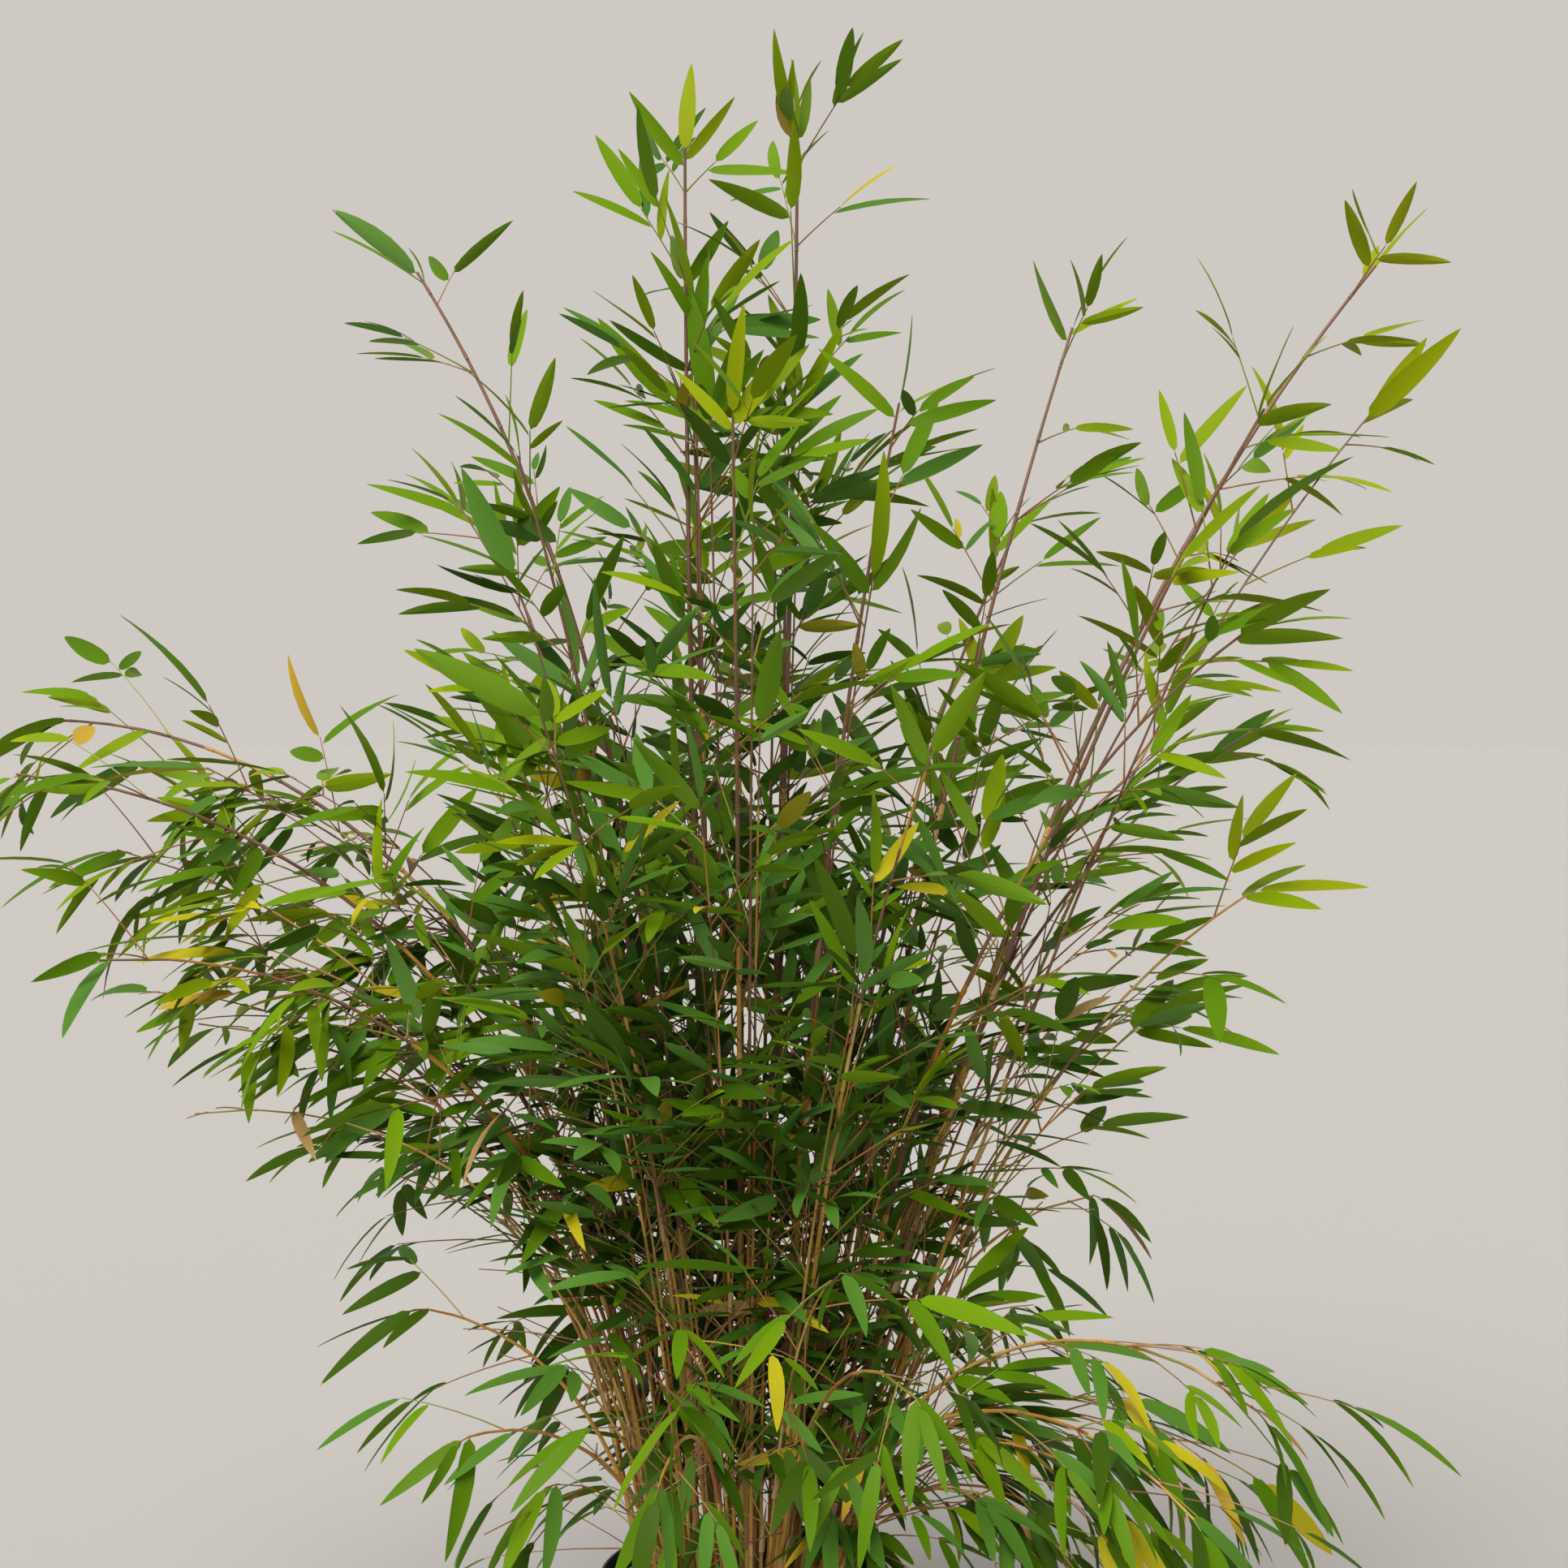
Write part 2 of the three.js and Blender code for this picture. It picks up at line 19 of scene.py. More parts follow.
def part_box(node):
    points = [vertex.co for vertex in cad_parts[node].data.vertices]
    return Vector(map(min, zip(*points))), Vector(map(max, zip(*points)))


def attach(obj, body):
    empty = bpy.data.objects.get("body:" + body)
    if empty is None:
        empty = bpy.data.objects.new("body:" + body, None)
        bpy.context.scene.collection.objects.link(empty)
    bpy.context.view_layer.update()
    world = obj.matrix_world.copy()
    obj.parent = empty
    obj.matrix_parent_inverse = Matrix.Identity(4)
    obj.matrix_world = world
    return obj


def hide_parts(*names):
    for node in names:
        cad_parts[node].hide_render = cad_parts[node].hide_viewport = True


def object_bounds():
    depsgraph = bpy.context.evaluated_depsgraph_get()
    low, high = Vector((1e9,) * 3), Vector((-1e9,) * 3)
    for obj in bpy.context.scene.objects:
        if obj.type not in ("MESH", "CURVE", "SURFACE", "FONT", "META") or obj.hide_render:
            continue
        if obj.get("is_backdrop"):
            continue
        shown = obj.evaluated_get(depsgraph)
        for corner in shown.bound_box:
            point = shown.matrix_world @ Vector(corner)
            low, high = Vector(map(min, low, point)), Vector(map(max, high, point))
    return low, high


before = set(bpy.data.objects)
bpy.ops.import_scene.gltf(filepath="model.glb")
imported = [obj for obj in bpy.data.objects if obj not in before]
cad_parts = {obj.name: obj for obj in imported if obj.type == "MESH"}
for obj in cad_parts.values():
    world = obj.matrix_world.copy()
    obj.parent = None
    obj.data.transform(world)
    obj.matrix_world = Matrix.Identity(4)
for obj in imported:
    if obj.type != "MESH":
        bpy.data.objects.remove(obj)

CAD_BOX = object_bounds()
CAD_LOW = np.array(CAD_BOX[0])
CAD_HIGH = np.array(CAD_BOX[1])
UP = np.array([0.0, 0.0, 1.0])
print("The solids reach from", CAD_LOW.round(3), "to", CAD_HIGH.round(3))

# %% [markdown]
# ## Sizes
# The pot's size is read from its solid. The rest are the sizes that the solids were made from, because
# canes and twigs grow here again by the same rule. Keeping them in one place shows what drives what.

# %% Sizes of the pot, the canes and the twigs
POT_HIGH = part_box("pot")[1]
RIM_RADIUS = POT_HIGH.x
POT_HEIGHT = POT_HIGH.z
BASE_RADIUS = 0.112
WALL = 0.0026
FLOOR_THICKNESS = 0.0036
RIM_BAND = 0.024
RIM_STEP = 0.005
DRAIN_HOLES = 8
COMPOST_TOP = 0.240
COMPOST_EDGE_DROP = 0.007
SEAT_GAP = 0.0003

INTERNODE = 0.0825
CANE_RADIUS_PER_LENGTH = 0.0031
LEAST_CANE_RADIUS = 0.003
TIP_SHARE = 0.34
TWIG_LENGTH = 0.150
TWIG_TURN = math.radians(137.5)
print("The pot is", round(2 * RIM_RADIUS, 3), "wide and", round(POT_HEIGHT, 3), "high")

# %% [markdown]
# ## Where the canes stand
# A clump of bamboo sends up canes from one root. Each one leaves the compost nearly upright and bows
# outwards, and the outer ones bow most. One row of numbers gives one cane: its direction in plan from
# +X towards +Y, its slope at the foot and at the tip, how late it bows, its length, how far its foot is
# from the pot's axis, and the share of it that has no leaves. The groups only say which side they fill.

# %% The rows of canes
Cane = namedtuple("Cane", "turn lean bow bend length foot bare")
CANES = {
    "spires": {
        "spire_centre": Cane(69, 7, 1, 2, 1.530, 0.018, 0.46),
        "spire_left": Cane(151, 2, 0, 2, 1.480, 0.034, 0.46),
    },
    "upright": {
        "right_spire": Cane(26, 12, 20, 2, 1.365, 0.042, 0.42),
        "left_spire": Cane(158, 2, 35, 2, 1.430, 0.058, 0.46),
        "left_inner": Cane(196, 5, 17, 2, 1.180, 0.044, 0.30),
        "right_inner": Cane(-38, 4, 14, 2, 1.220, 0.034, 0.30),
        "front_spire": Cane(-92, 5, 13, 2, 1.200, 0.040, 0.26),
    },
    "right": {
        "long_right": Cane(13, 16, 41, 2, 1.530, 0.060, 0.50),
        "steep_right": Cane(-13, 16, 30, 2, 1.290, 0.056, 0.46),
        "fan_upper": Cane(-22, 8, 54, 2, 1.110, 0.078, 0.36),
        "fan_middle": Cane(4, 9, 61, 2, 1.035, 0.084, 0.34),
        "fan_lower": Cane(-10, 15, 56, 2, 0.860, 0.098, 0.32),
        "fan_lowest": Cane(20, 16, 60, 2, 0.710, 0.098, 0.32),
        "front_right": Cane(-62, 10, 34, 2, 0.930, 0.072, 0.16),
    },
    "left": {
        "sweep_upper": Cane(167, 3, 90, 1.5, 1.260, 0.076, 0.42),
        "sweep_middle": Cane(184, 4, 86, 1.5, 1.165, 0.088, 0.40),
        "sweep_lower": Cane(203, 2, 92, 1.5, 0.980, 0.098, 0.38),
        "front_left": Cane(238, 9, 30, 2, 0.960, 0.070, 0.16),
    },
    "droop": {
        "droop_upper": Cane(-34, 8, 122, 1.3, 0.655, 0.100, 0.30),
        "droop_lower": Cane(-47, 8, 124, 1.1, 0.630, 0.100, 0.26),
    },
    "low": {
        "left_low": Cane(180, 8, 76, 2, 0.610, 0.104, 0.30),
        "left_lowest": Cane(209, 8, 74, 1.5, 0.450, 0.104, 0.26),
        "back_left_shoot": Cane(142, 14, 92, 1.3, 0.620, 0.102, 0.12),
    },
    "shoots": {
        "front_shoot": Cane(-98, 10, 104, 1.2, 0.520, 0.096, 0.12),
        "front_left_shoot": Cane(232, 12, 88, 1.2, 0.430, 0.104, 0.12),
        "front_right_shoot": Cane(-72, 10, 96, 1.3, 0.580, 0.098, 0.14),
    },
    "back": {
        "back_right": Cane(48, 9, 40, 2, 1.210, 0.074, 0.30),
        "back_middle": Cane(92, 7, 42, 2, 1.180, 0.072, 0.26),
        "back_left": Cane(128, 9, 44, 2, 1.220, 0.076, 0.30),
    },
    "back_low": {
        "back_low": Cane(72, 16, 88, 1.6, 0.800, 0.102, 0.22),
        "back_shoot": Cane(104, 14, 96, 1.3, 0.560, 0.102, 0.12),
        "back_right_shoot": Cane(38, 14, 94, 1.3, 0.580, 0.104, 0.12),
    },
}
print(sum(map(len, CANES.values())), "leading canes in", len(CANES), "groups")

# %% [markdown]
# ## Finishes
# Every finish is a Principled shader with a little relief made by nodes. A plain value is set on the
# shader itself. Where a colour varies, a noise mixes two tones of it. The noise reads the object's own
# coordinates, so it has one size on every piece. Colours are written as they look on a screen, and
# turned into the linear values that the shader wants.


# %% A finish made of nodes
PATCH_EDGES = (0.36, 0.64)


def linear(code):
    """The linear colour, with its alpha, of a code such as 9b7447."""
    channels = [int(code[i:i + 2], 16) / 255 for i in (0, 2, 4)]
    return [c / 12.92 if c <= 0.04045 else ((c + 0.055) / 1.055) ** 2.4 for c in channels] + [1]


def plain_finish(name, colour, roughness):
    """A new material with its plain values set, its nodes, its links and its shader."""
    material = bpy.data.materials.new(name)
    material.use_nodes = True
    shader = material.node_tree.nodes["Principled BSDF"]
    shader.inputs["Base Color"].default_value = linear(colour)
    shader.inputs["Roughness"].default_value = roughness
    return material, material.node_tree.nodes, material.node_tree.links, shader


def finish(name, colour, roughness, second=None, patch=60, grain=900, depth=0.0003, stretch=(1, 1, 1)):
    """A material of one colour, or of two mixed in patches, with a fine grain in relief."""
    material, nodes, links, shader = plain_finish(name, colour, roughness)
    place = nodes.new("ShaderNodeTexCoord")
    mapping = nodes.new("ShaderNodeMapping")
    mapping.inputs["Scale"].default_value = stretch
    links.new(place.outputs["Object"], mapping.inputs["Vector"])
    fine = nodes.new("ShaderNodeTexNoise")
    fine.inputs["Scale"].default_value = grain
    fine.inputs["Detail"].default_value = 3
    links.new(mapping.outputs["Vector"], fine.inputs["Vector"])
    relief = nodes.new("ShaderNodeBump")
    relief.inputs["Distance"].default_value = depth
    links.new(fine.outputs["Fac"], relief.inputs["Height"])
    links.new(relief.outputs["Normal"], shader.inputs["Normal"])
    if second:
        broad = nodes.new("ShaderNodeTexNoise")
        broad.inputs["Scale"].default_value = patch
        broad.inputs["Detail"].default_value = 4
        links.new(mapping.outputs["Vector"], broad.inputs["Vector"])
        ramp = nodes.new("ShaderNodeValToRGB")
        for element, edge, tone in zip(ramp.color_ramp.elements, PATCH_EDGES, (colour, second)):
            element.position = edge
            element.color = linear(tone)
        links.new(broad.outputs["Fac"], ramp.inputs["Fac"])
        links.new(ramp.outputs["Color"], shader.inputs["Base Color"])
    return material


# %% [markdown]
# ## Making a piece
# Small pieces that repeat, such as leaves, are worked out as arrays and joined into one mesh. A large
# mesh is quick to make that way and keeps the file short. Smooth shading with an angle limit keeps
# the crease of a leaf and the edge of a chip crisp.


# %% A mesh from arrays, and telling the frame about it
def make_piece(name, points, faces, finishes, which=None, uv=None, crease=30):
    """A mesh object. which gives each face's finish, and uv each point's place on its leaf."""
    mesh = bpy.data.meshes.new(name)
    mesh.from_pydata(np.asarray(points).tolist(), [], faces)
    for material in finishes:
        mesh.materials.append(material)
    if which is not None:
        mesh.polygons.foreach_set("material_index", np.asarray(which, dtype=np.int32))
    if uv is not None:
        corners = np.zeros(len(mesh.loops), dtype=np.int32)
        mesh.loops.foreach_get("vertex_index", corners)
        mesh.uv_layers.new(name="leaf").data.foreach_set("uv", np.asarray(uv)[corners].ravel())
    piece = bpy.data.objects.new(name, mesh)
    bpy.context.scene.collection.objects.link(piece)
    shade(piece, crease)
    return piece


def choose(piece):
    bpy.ops.object.select_all(action="DESELECT")
    piece.select_set(True)
    bpy.context.view_layer.objects.active = piece


def shade(piece, crease):
    choose(piece)
    bpy.ops.object.shade_smooth_by_angle(angle=math.radians(crease))


def belongs(piece, slot, *nodes):
    """The piece moves with the plant, and stands for these nodes of the frame."""
    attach(piece, "root")
    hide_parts(*nodes)
    print(piece.name, len(piece.data.polygons), "faces")


# %% [markdown]
# ## The pot
# A nursery pot is one thin moulded shell: a flat foot, a wall that widens upwards, and a thicker band
# under a rolled rim. It could be turned from a profile with the Spin tool. Drawing the wall up ring by
# ring from a filled circle does the same, and leaves the foot closed from the start. The drain holes are
# cut through the wall with a Boolean modifier, and a Bevel modifier rounds every hard edge, as a mould
# does.

# %% The pot's wall, ring by ring
BAND_FOOT = POT_HEIGHT - RIM_BAND
BAND_SLOPE = 0.004
RIM_ROUNDING = 0.0015
RIM_DRAFT = 0.0025
FOOT_ROUNDING = 0.003
FOOT_BAND = 0.030
WALL_LINES = [0.060, 0.068, 0.150, 0.158]
LINE_RELIEF = 0.0008
LINE_SLOPE = 0.0015


def outside_at(height):
    """The wall's outer radius at a height below the band."""
    return BASE_RADIUS + (RIM_RADIUS - RIM_STEP - BASE_RADIUS) * height / BAND_FOOT


def draw_ring(now, then):
    """Draws the chosen edge loop on from one (radius, height) to another."""
    bpy.ops.mesh.extrude_region_move(TRANSFORM_OT_translate={"value": (0, 0, then[1] - now[1])})
    share = then[0] / now[0]
    bpy.ops.transform.resize(value=(share, share, 1))


profile = [(BASE_RADIUS - FOOT_ROUNDING, 0)]
profile += [(outside_at(height), height) for height in (FOOT_ROUNDING, FOOT_BAND)]
for low, high in zip(WALL_LINES[::2], WALL_LINES[1::2]):
    profile += [(outside_at(low), low), (outside_at(low) + LINE_RELIEF, low + LINE_SLOPE)]
    profile += [(outside_at(high) + LINE_RELIEF, high - LINE_SLOPE), (outside_at(high), high)]
profile += [
    (outside_at(BAND_FOOT - BAND_SLOPE), BAND_FOOT - BAND_SLOPE),
    (RIM_RADIUS - RIM_ROUNDING, BAND_FOOT),
    (RIM_RADIUS, POT_HEIGHT - 2 * RIM_ROUNDING),
    (RIM_RADIUS - RIM_ROUNDING, POT_HEIGHT),
    (RIM_RADIUS - WALL - RIM_ROUNDING, POT_HEIGHT),
    (RIM_RADIUS - WALL - RIM_DRAFT, BAND_FOOT + BAND_SLOPE),
    (outside_at(BAND_FOOT - BAND_SLOPE) - WALL, BAND_FOOT - BAND_SLOPE),
    (outside_at(FLOOR_THICKNESS) - WALL, FLOOR_THICKNESS),
]
bpy.ops.object.select_all(action="DESELECT")
bpy.ops.mesh.primitive_circle_add(vertices=128, radius=profile[0][0], fill_type="NGON")
pot = bpy.context.object
pot.name = "pot_shell"
bpy.ops.object.mode_set(mode="EDIT")
bpy.ops.mesh.select_all(action="SELECT")
bpy.ops.mesh.region_to_loop()
for now, then in zip(profile, profile[1:]):
    draw_ring(now, then)
bpy.ops.mesh.edge_face_add()
bpy.ops.mesh.select_all(action="SELECT")
bpy.ops.mesh.normals_make_consistent(inside=False)
bpy.ops.object.mode_set(mode="OBJECT")
print("The pot's shell has", len(profile), "rings")

# %% Its drain holes and rounded edges
HOLE_RADIUS = 0.0045
HOLE_HEIGHT = FLOOR_THICKNESS + 0.0055
HOLE_WIDENING = 0.67
CUTTER_LENGTH = 0.030
HARD_EDGE = 32
cutters = []
for i in range(DRAIN_HOLES):
    angle = 2 * math.pi * (i + 0.5) / DRAIN_HOLES
    across, out = math.cos(angle), math.sin(angle)
    where = (BASE_RADIUS * across, BASE_RADIUS * out, HOLE_HEIGHT)
    bpy.ops.object.select_all(action="DESELECT")
    bpy.ops.mesh.primitive_cylinder_add(vertices=24, radius=HOLE_RADIUS, depth=CUTTER_LENGTH,
                                        location=where, rotation=(0, math.pi / 2, angle))
    bpy.ops.object.mode_set(mode="EDIT")
    bpy.ops.mesh.select_all(action="SELECT")
    wide = (1 + HOLE_WIDENING * abs(out), 1 + HOLE_WIDENING * abs(across), 1)
    bpy.ops.transform.resize(value=wide)
    bpy.ops.object.mode_set(mode="OBJECT")
    cutters.append(bpy.context.object)
for cutter in cutters:
    hole = pot.modifiers.new("hole", "BOOLEAN")
    hole.object = cutter
    hole.solver = "EXACT"
rounding = pot.modifiers.new("rounding", "BEVEL")
rounding.width = 0.0009
rounding.segments = 2
rounding.limit_method = "ANGLE"
rounding.angle_limit = math.radians(HARD_EDGE)
choose(pot)
for modifier in list(pot.modifiers):
    bpy.ops.object.modifier_apply(modifier=modifier.name)
for cutter in cutters:
    bpy.data.objects.remove(cutter)
shade(pot, HARD_EDGE)
pot.data.materials.clear()
pot.data.materials.append(
    finish("black_moulded_plastic", "131415", 0.42, second="1c1d1f", patch=14, grain=700, depth=0.00006))
belongs(pot, "pot", "pot")

# %% [markdown]
# ## The compost
# The pot is filled to a few centimetres under its rim. The compost starts as a cylinder that follows
# the wall. Its top is inset again and again, which gives rings of small faces, and Displace modifiers
# then lift them into lumps and crumbs. Only the top is displaced, so a vertex group holds its points.

# %% Lumpy compost
COMPOST_FOOT = FLOOR_THICKNESS + SEAT_GAP
COMPOST_EDGE = COMPOST_TOP - COMPOST_EDGE_DROP
EDGE_RADIUS = outside_at(COMPOST_EDGE) - WALL - SEAT_GAP
FOOT_RADIUS = outside_at(COMPOST_FOOT) - WALL - SEAT_GAP
RINGS = 44
SLOPING_RINGS = 10
RINGED_SHARE = 0.97
bpy.ops.object.select_all(action="DESELECT")
bpy.ops.mesh.primitive_cylinder_add(vertices=120, radius=EDGE_RADIUS, depth=COMPOST_EDGE - COMPOST_FOOT,
                                    location=(0, 0, (COMPOST_EDGE + COMPOST_FOOT) / 2))
compost = bpy.context.object
compost.name = "potting_compost"
bpy.ops.object.transform_apply(location=True)
for face in compost.data.polygons:
    face.select = face.normal.z < -0.9
bpy.ops.object.mode_set(mode="EDIT")
bpy.ops.transform.resize(value=(FOOT_RADIUS / EDGE_RADIUS, FOOT_RADIUS / EDGE_RADIUS, 1))
bpy.ops.mesh.select_all(action="DESELECT")
bpy.ops.object.mode_set(mode="OBJECT")
for face in compost.data.polygons:
    face.select = face.normal.z > 0.9
bpy.ops.object.mode_set(mode="EDIT")
bpy.ops.object.vertex_group_add()
for ring in range(RINGS):
    rise = COMPOST_EDGE_DROP / SLOPING_RINGS if ring < SLOPING_RINGS else 0
    bpy.ops.mesh.inset(thickness=RINGED_SHARE * EDGE_RADIUS / RINGS, depth=rise)
bpy.ops.mesh.poke()
bpy.ops.object.mode_set(mode="OBJECT")
top = [v.index for v in compost.data.vertices if v.co.z > COMPOST_EDGE + 0.0001]
compost.vertex_groups[0].add(top, 1.0, "REPLACE")
for name, size, height in (("lumps", 0.030, 0.010), ("crumbs", 0.0075, 0.0055), ("grit", 0.003, 0.002)):
    cloud = bpy.data.textures.new(name, "CLOUDS")
    cloud.noise_scale = size
    lift = compost.modifiers.new(name, "DISPLACE")
    lift.texture = cloud
    lift.texture_coords = "LOCAL"
    lift.direction = "Z"
    lift.strength = height
    lift.mid_level = 0.5
    lift.vertex_group = compost.vertex_groups[0].name
    bpy.ops.object.modifier_apply(modifier=lift.name)
shade(compost, 40)
compost.data.materials.clear()
compost.data.materials.append(
    finish("damp_compost", "2a1d14", 0.95, second="4a3524", patch=130, grain=1400, depth=0.0012))
belongs(compost, "compost", "compost")
ground = BVHTree.FromObject(compost, bpy.context.evaluated_depsgraph_get())


def ground_at(x, y):
    hit = ground.ray_cast(Vector((x, y, 1.0)), Vector((0, 0, -1)))[0]
    return hit.z if hit else COMPOST_EDGE


# %% [markdown]
# ## Bark chips on the compost
# Chips of bark and broken crumbs lie on the compost. Each is a small block with its corners moved about
# at random. One of them could be modelled and scattered by hand, but a loop gives each its own shape,
# and the whole scatter is one mesh. The random numbers are seeded, so that it is the same on every run.

# %% Scatter the chips
CHIP_CORNERS = np.array([[x, y, z] for x in (-1, 1) for y in (-1, 1) for z in (-1, 1)], dtype=float)
CHIP_FACES = [(0, 1, 3, 2), (4, 6, 7, 5), (0, 4, 5, 1), (2, 3, 7, 6), (0, 2, 6, 4), (1, 5, 7, 3)]


def unit(vector):
    return vector / np.linalg.norm(vector)


def scatter_chips(count, shortest, longest, rng, points, faces, which, finishes):
    for _ in range(count):
        length = rng.uniform(shortest, longest)
        size = np.array([length, length * rng.uniform(0.3, 0.7), length * rng.uniform(0.12, 0.3)]) / 2
        shifts = [[rng.uniform(-0.35, 0.35) for _ in "xyz"] for _ in CHIP_CORNERS]
        corners = (CHIP_CORNERS + np.array(shifts)) * size
        turn = rng.uniform(0, 2 * math.pi)
        along = unit(np.array([math.cos(turn), math.sin(turn), rng.uniform(-0.3, 0.3)]))
        side = unit(np.cross(UP, along) + UP * rng.uniform(-0.3, 0.3))
        side = unit(side - along * side.dot(along))
        away = (EDGE_RADIUS - 0.6 * length) * math.sqrt(rng.random())
        around = rng.uniform(0, 2 * math.pi)
        x, y = away * math.cos(around), away * math.sin(around)
        centre = np.array([x, y, ground_at(x, y) + 0.4 * size[2]])
        base = len(points)
        points.extend(centre + corners @ np.array([along, side, np.cross(along, side)]))
        faces.extend([tuple(base + corner for corner in face) for face in CHIP_FACES])
        which.extend([rng.randrange(finishes)] * len(CHIP_FACES))


chip_finishes = [
    finish("bark_tan", "9b7447", 0.85, second="6f4e2e", patch=90, depth=0.0006),
    finish("bark_brown", "5d4029", 0.9, second="3a281a", patch=90, depth=0.0006),
    finish("bark_dark", "33241a", 0.95, second="22180f", patch=90, depth=0.0006),
    finish("bark_rust", "84502b", 0.85, second="5c3820", patch=90, depth=0.0006),
]
points, faces, which = [], [], []
rng = random.Random(11)
scatter_chips(420, 0.008, 0.026, rng, points, faces, which, len(chip_finishes))
scatter_chips(1500, 0.002, 0.006, rng, points, faces, which, len(chip_finishes))
belongs(make_piece("bark_chips", points, faces, chip_finishes, which), "compost")

# %% [markdown]
# ## Tubes
# Canes and twigs are tubes that follow a line and change radius along it. A curve with a bevel would do
# for one of them. Here there are thousands, and the canes swell at their joints, so a helper lays rings
# of points round the line and joins them. It carries one side direction along the line, which keeps
# the rings from twisting.


# %% Rings round a line
class Joined:
    """Points and faces gathered from many small shapes, to become one mesh."""

    def __init__(self):
        self.points = []
        self.faces = []
        self.which = []
        self.count = 0

    def add(self, points, faces, which):
        self.points.append(points)
        self.faces.extend([tuple(self.count + i for i in face) for face in faces])
        self.which.extend(which)
        self.count += len(points)

    def piece(self, name, finishes, crease=30):
        return make_piece(name, np.vstack(self.points), self.faces, finishes, self.which, crease=crease)


def side_directions(line, start):
    """Two directions across the line at each of its points, carried along from the start."""
    ways = np.gradient(line, axis=0)
    sides = []
    side = start
    for way in ways:
        way = unit(way)
        side = unit(side - way * side.dot(way))
        sides.append((side, np.cross(way, side)))
    return sides


def ring_faces(rings, sides):
    """The faces of a closed tube: those from each ring to the next, and one over each end."""
    faces = []
    for low in range(0, (rings - 1) * sides, sides):
        for i in range(sides):
            j = (i + 1) % sides
            faces.append((low + i, low + j, low + sides + j, low + sides + i))
    faces.append(tuple(range(sides - 1, -1, -1)))
    faces.append(tuple(range((rings - 1) * sides, rings * sides)))
    return faces


def add_tube(joined, line, radii, sides, start, finishes):
    """A closed tube. finishes holds one finish number for each stretch between two points."""
    turns = 2 * math.pi * np.arange(sides) / sides
    ring = np.stack([np.cos(turns), np.sin(turns)], axis=1)
    pairs = side_directions(line, start)
    points = np.vstack([point + (ring @ np.array(pair)) * r for point, pair, r in zip(line, pairs, radii)])
    which = [number for number in finishes for _ in range(sides)]
    joined.add(points, ring_faces(len(line), sides), which + [finishes[0], finishes[-1]])


# %% [markdown]
# ## The canes
# A cane is a row of straight, slim stretches between joints. Each joint has a thin scar where a sheath
# sat, a groove, and a swelling above it. The canes are straw and tan with some olive at the foot and
# turn purplish brown towards the tip. The colour changes from one stretch to the next, so each stretch
# takes one of a few finishes.

# %% Centre lines
LINE_STEPS = 72


def centre_line(cane):
    turn = math.radians(cane.turn)
    outward = np.array([math.cos(turn), math.sin(turn), 0.0])
    shares = (np.arange(LINE_STEPS) + 0.5) / LINE_STEPS
    slopes = np.radians(cane.lean + (cane.bow - cane.lean) * shares ** cane.bend)
    strides = np.outer(np.sin(slopes), outward)
    strides[:, 2] = np.cos(slopes)
    foot = outward * cane.foot + UP * COMPOST_TOP
    return np.vstack([foot, foot + np.cumsum(strides * cane.length / LINE_STEPS, axis=0)])


def point_at(line, share):
    """The point a share of the way along a cane's line."""
    place = min(max(share, 0.0), 1.0) * LINE_STEPS
    low = min(int(place), LINE_STEPS - 1)
    return line[low] + (line[low + 1] - line[low]) * (place - low)


def way_at(line, share):
    low = min(int(min(max(share, 0.0), 1.0) * LINE_STEPS), LINE_STEPS - 1)
    return unit(line[low + 1] - line[low])


def radius_at(cane, share):
    foot = max(LEAST_CANE_RADIUS, cane.length * CANE_RADIUS_PER_LENGTH)
    return foot * (1 - (1 - TIP_SHARE) * share)


# %% One jointed cane
# Each row is a distance along the cane from the joint, and the radius there as a share.
JOINT = [(-0.0070, 1.00), (-0.0018, 0.99), (-0.0007, 1.30), (0.0010, 1.08), (0.0042, 1.22), (0.0100, 1.02)]
LAST_JOINT = 0.985
SUNK = 0.014
CANE_COLOURS = {
    "straw": ("cfab66", "b8924c", 0.45),
    "tan": ("b98a3e", "a2782e", 0.45),
    "olive": ("827c28", "92792c", 0.45),
    "rust": ("a56c2a", "885a22", 0.45),
    "plum": ("7a5540", "674a36", 0.48),
}
CANE_TONES = list(CANE_COLOURS)
LOW_TONES = ["straw", "tan", "tan", "olive", "rust"]
PLUM_ABOVE = 0.6
ALL_PLUM_ABOVE = 1.2


def cane_tone(height, rng):
    """The finish of a stretch: light and warm near the ground, purplish brown high up."""
    if rng.random() < (height - PLUM_ABOVE) / (ALL_PLUM_ABOVE - PLUM_ABOVE):
        return CANE_TONES.index("plum")
    return CANE_TONES.index(rng.choice(LOW_TONES))


def add_cane(joined, cane, line, thin, sides, rng):
    """A cane with all its joints. Its first stretch is sunk into the compost."""
    stations = [(-SUNK / cane.length, 1.0, 0)]
    joint = INTERNODE / cane.length
    number = 1
    while joint * number < LAST_JOINT:
        middle = joint * (number - 0.5)
        stations.append((middle, 1.0, number))
        stations += [(joint * number + along / cane.length, swell, number) for along, swell in JOINT]
        number += 1
    stations.append((1.0, 1.0, number))
    tones = [cane_tone(point_at(line, joint * i)[2], rng) for i in range(number + 1)]
    turn = math.radians(cane.turn)
    across = np.array([-math.sin(turn), math.cos(turn), 0.0])
    centres = [point_at(line, share) for share, _, _ in stations]
    centres[0] = line[0] - way_at(line, 0) * SUNK
    radii = [thin * radius_at(cane, max(share, 0)) * swell for share, swell, _ in stations]
    finishes = [tones[number] for _, _, number in stations[1:]]
    add_tube(joined, np.array(centres), radii, sides, across, finishes)


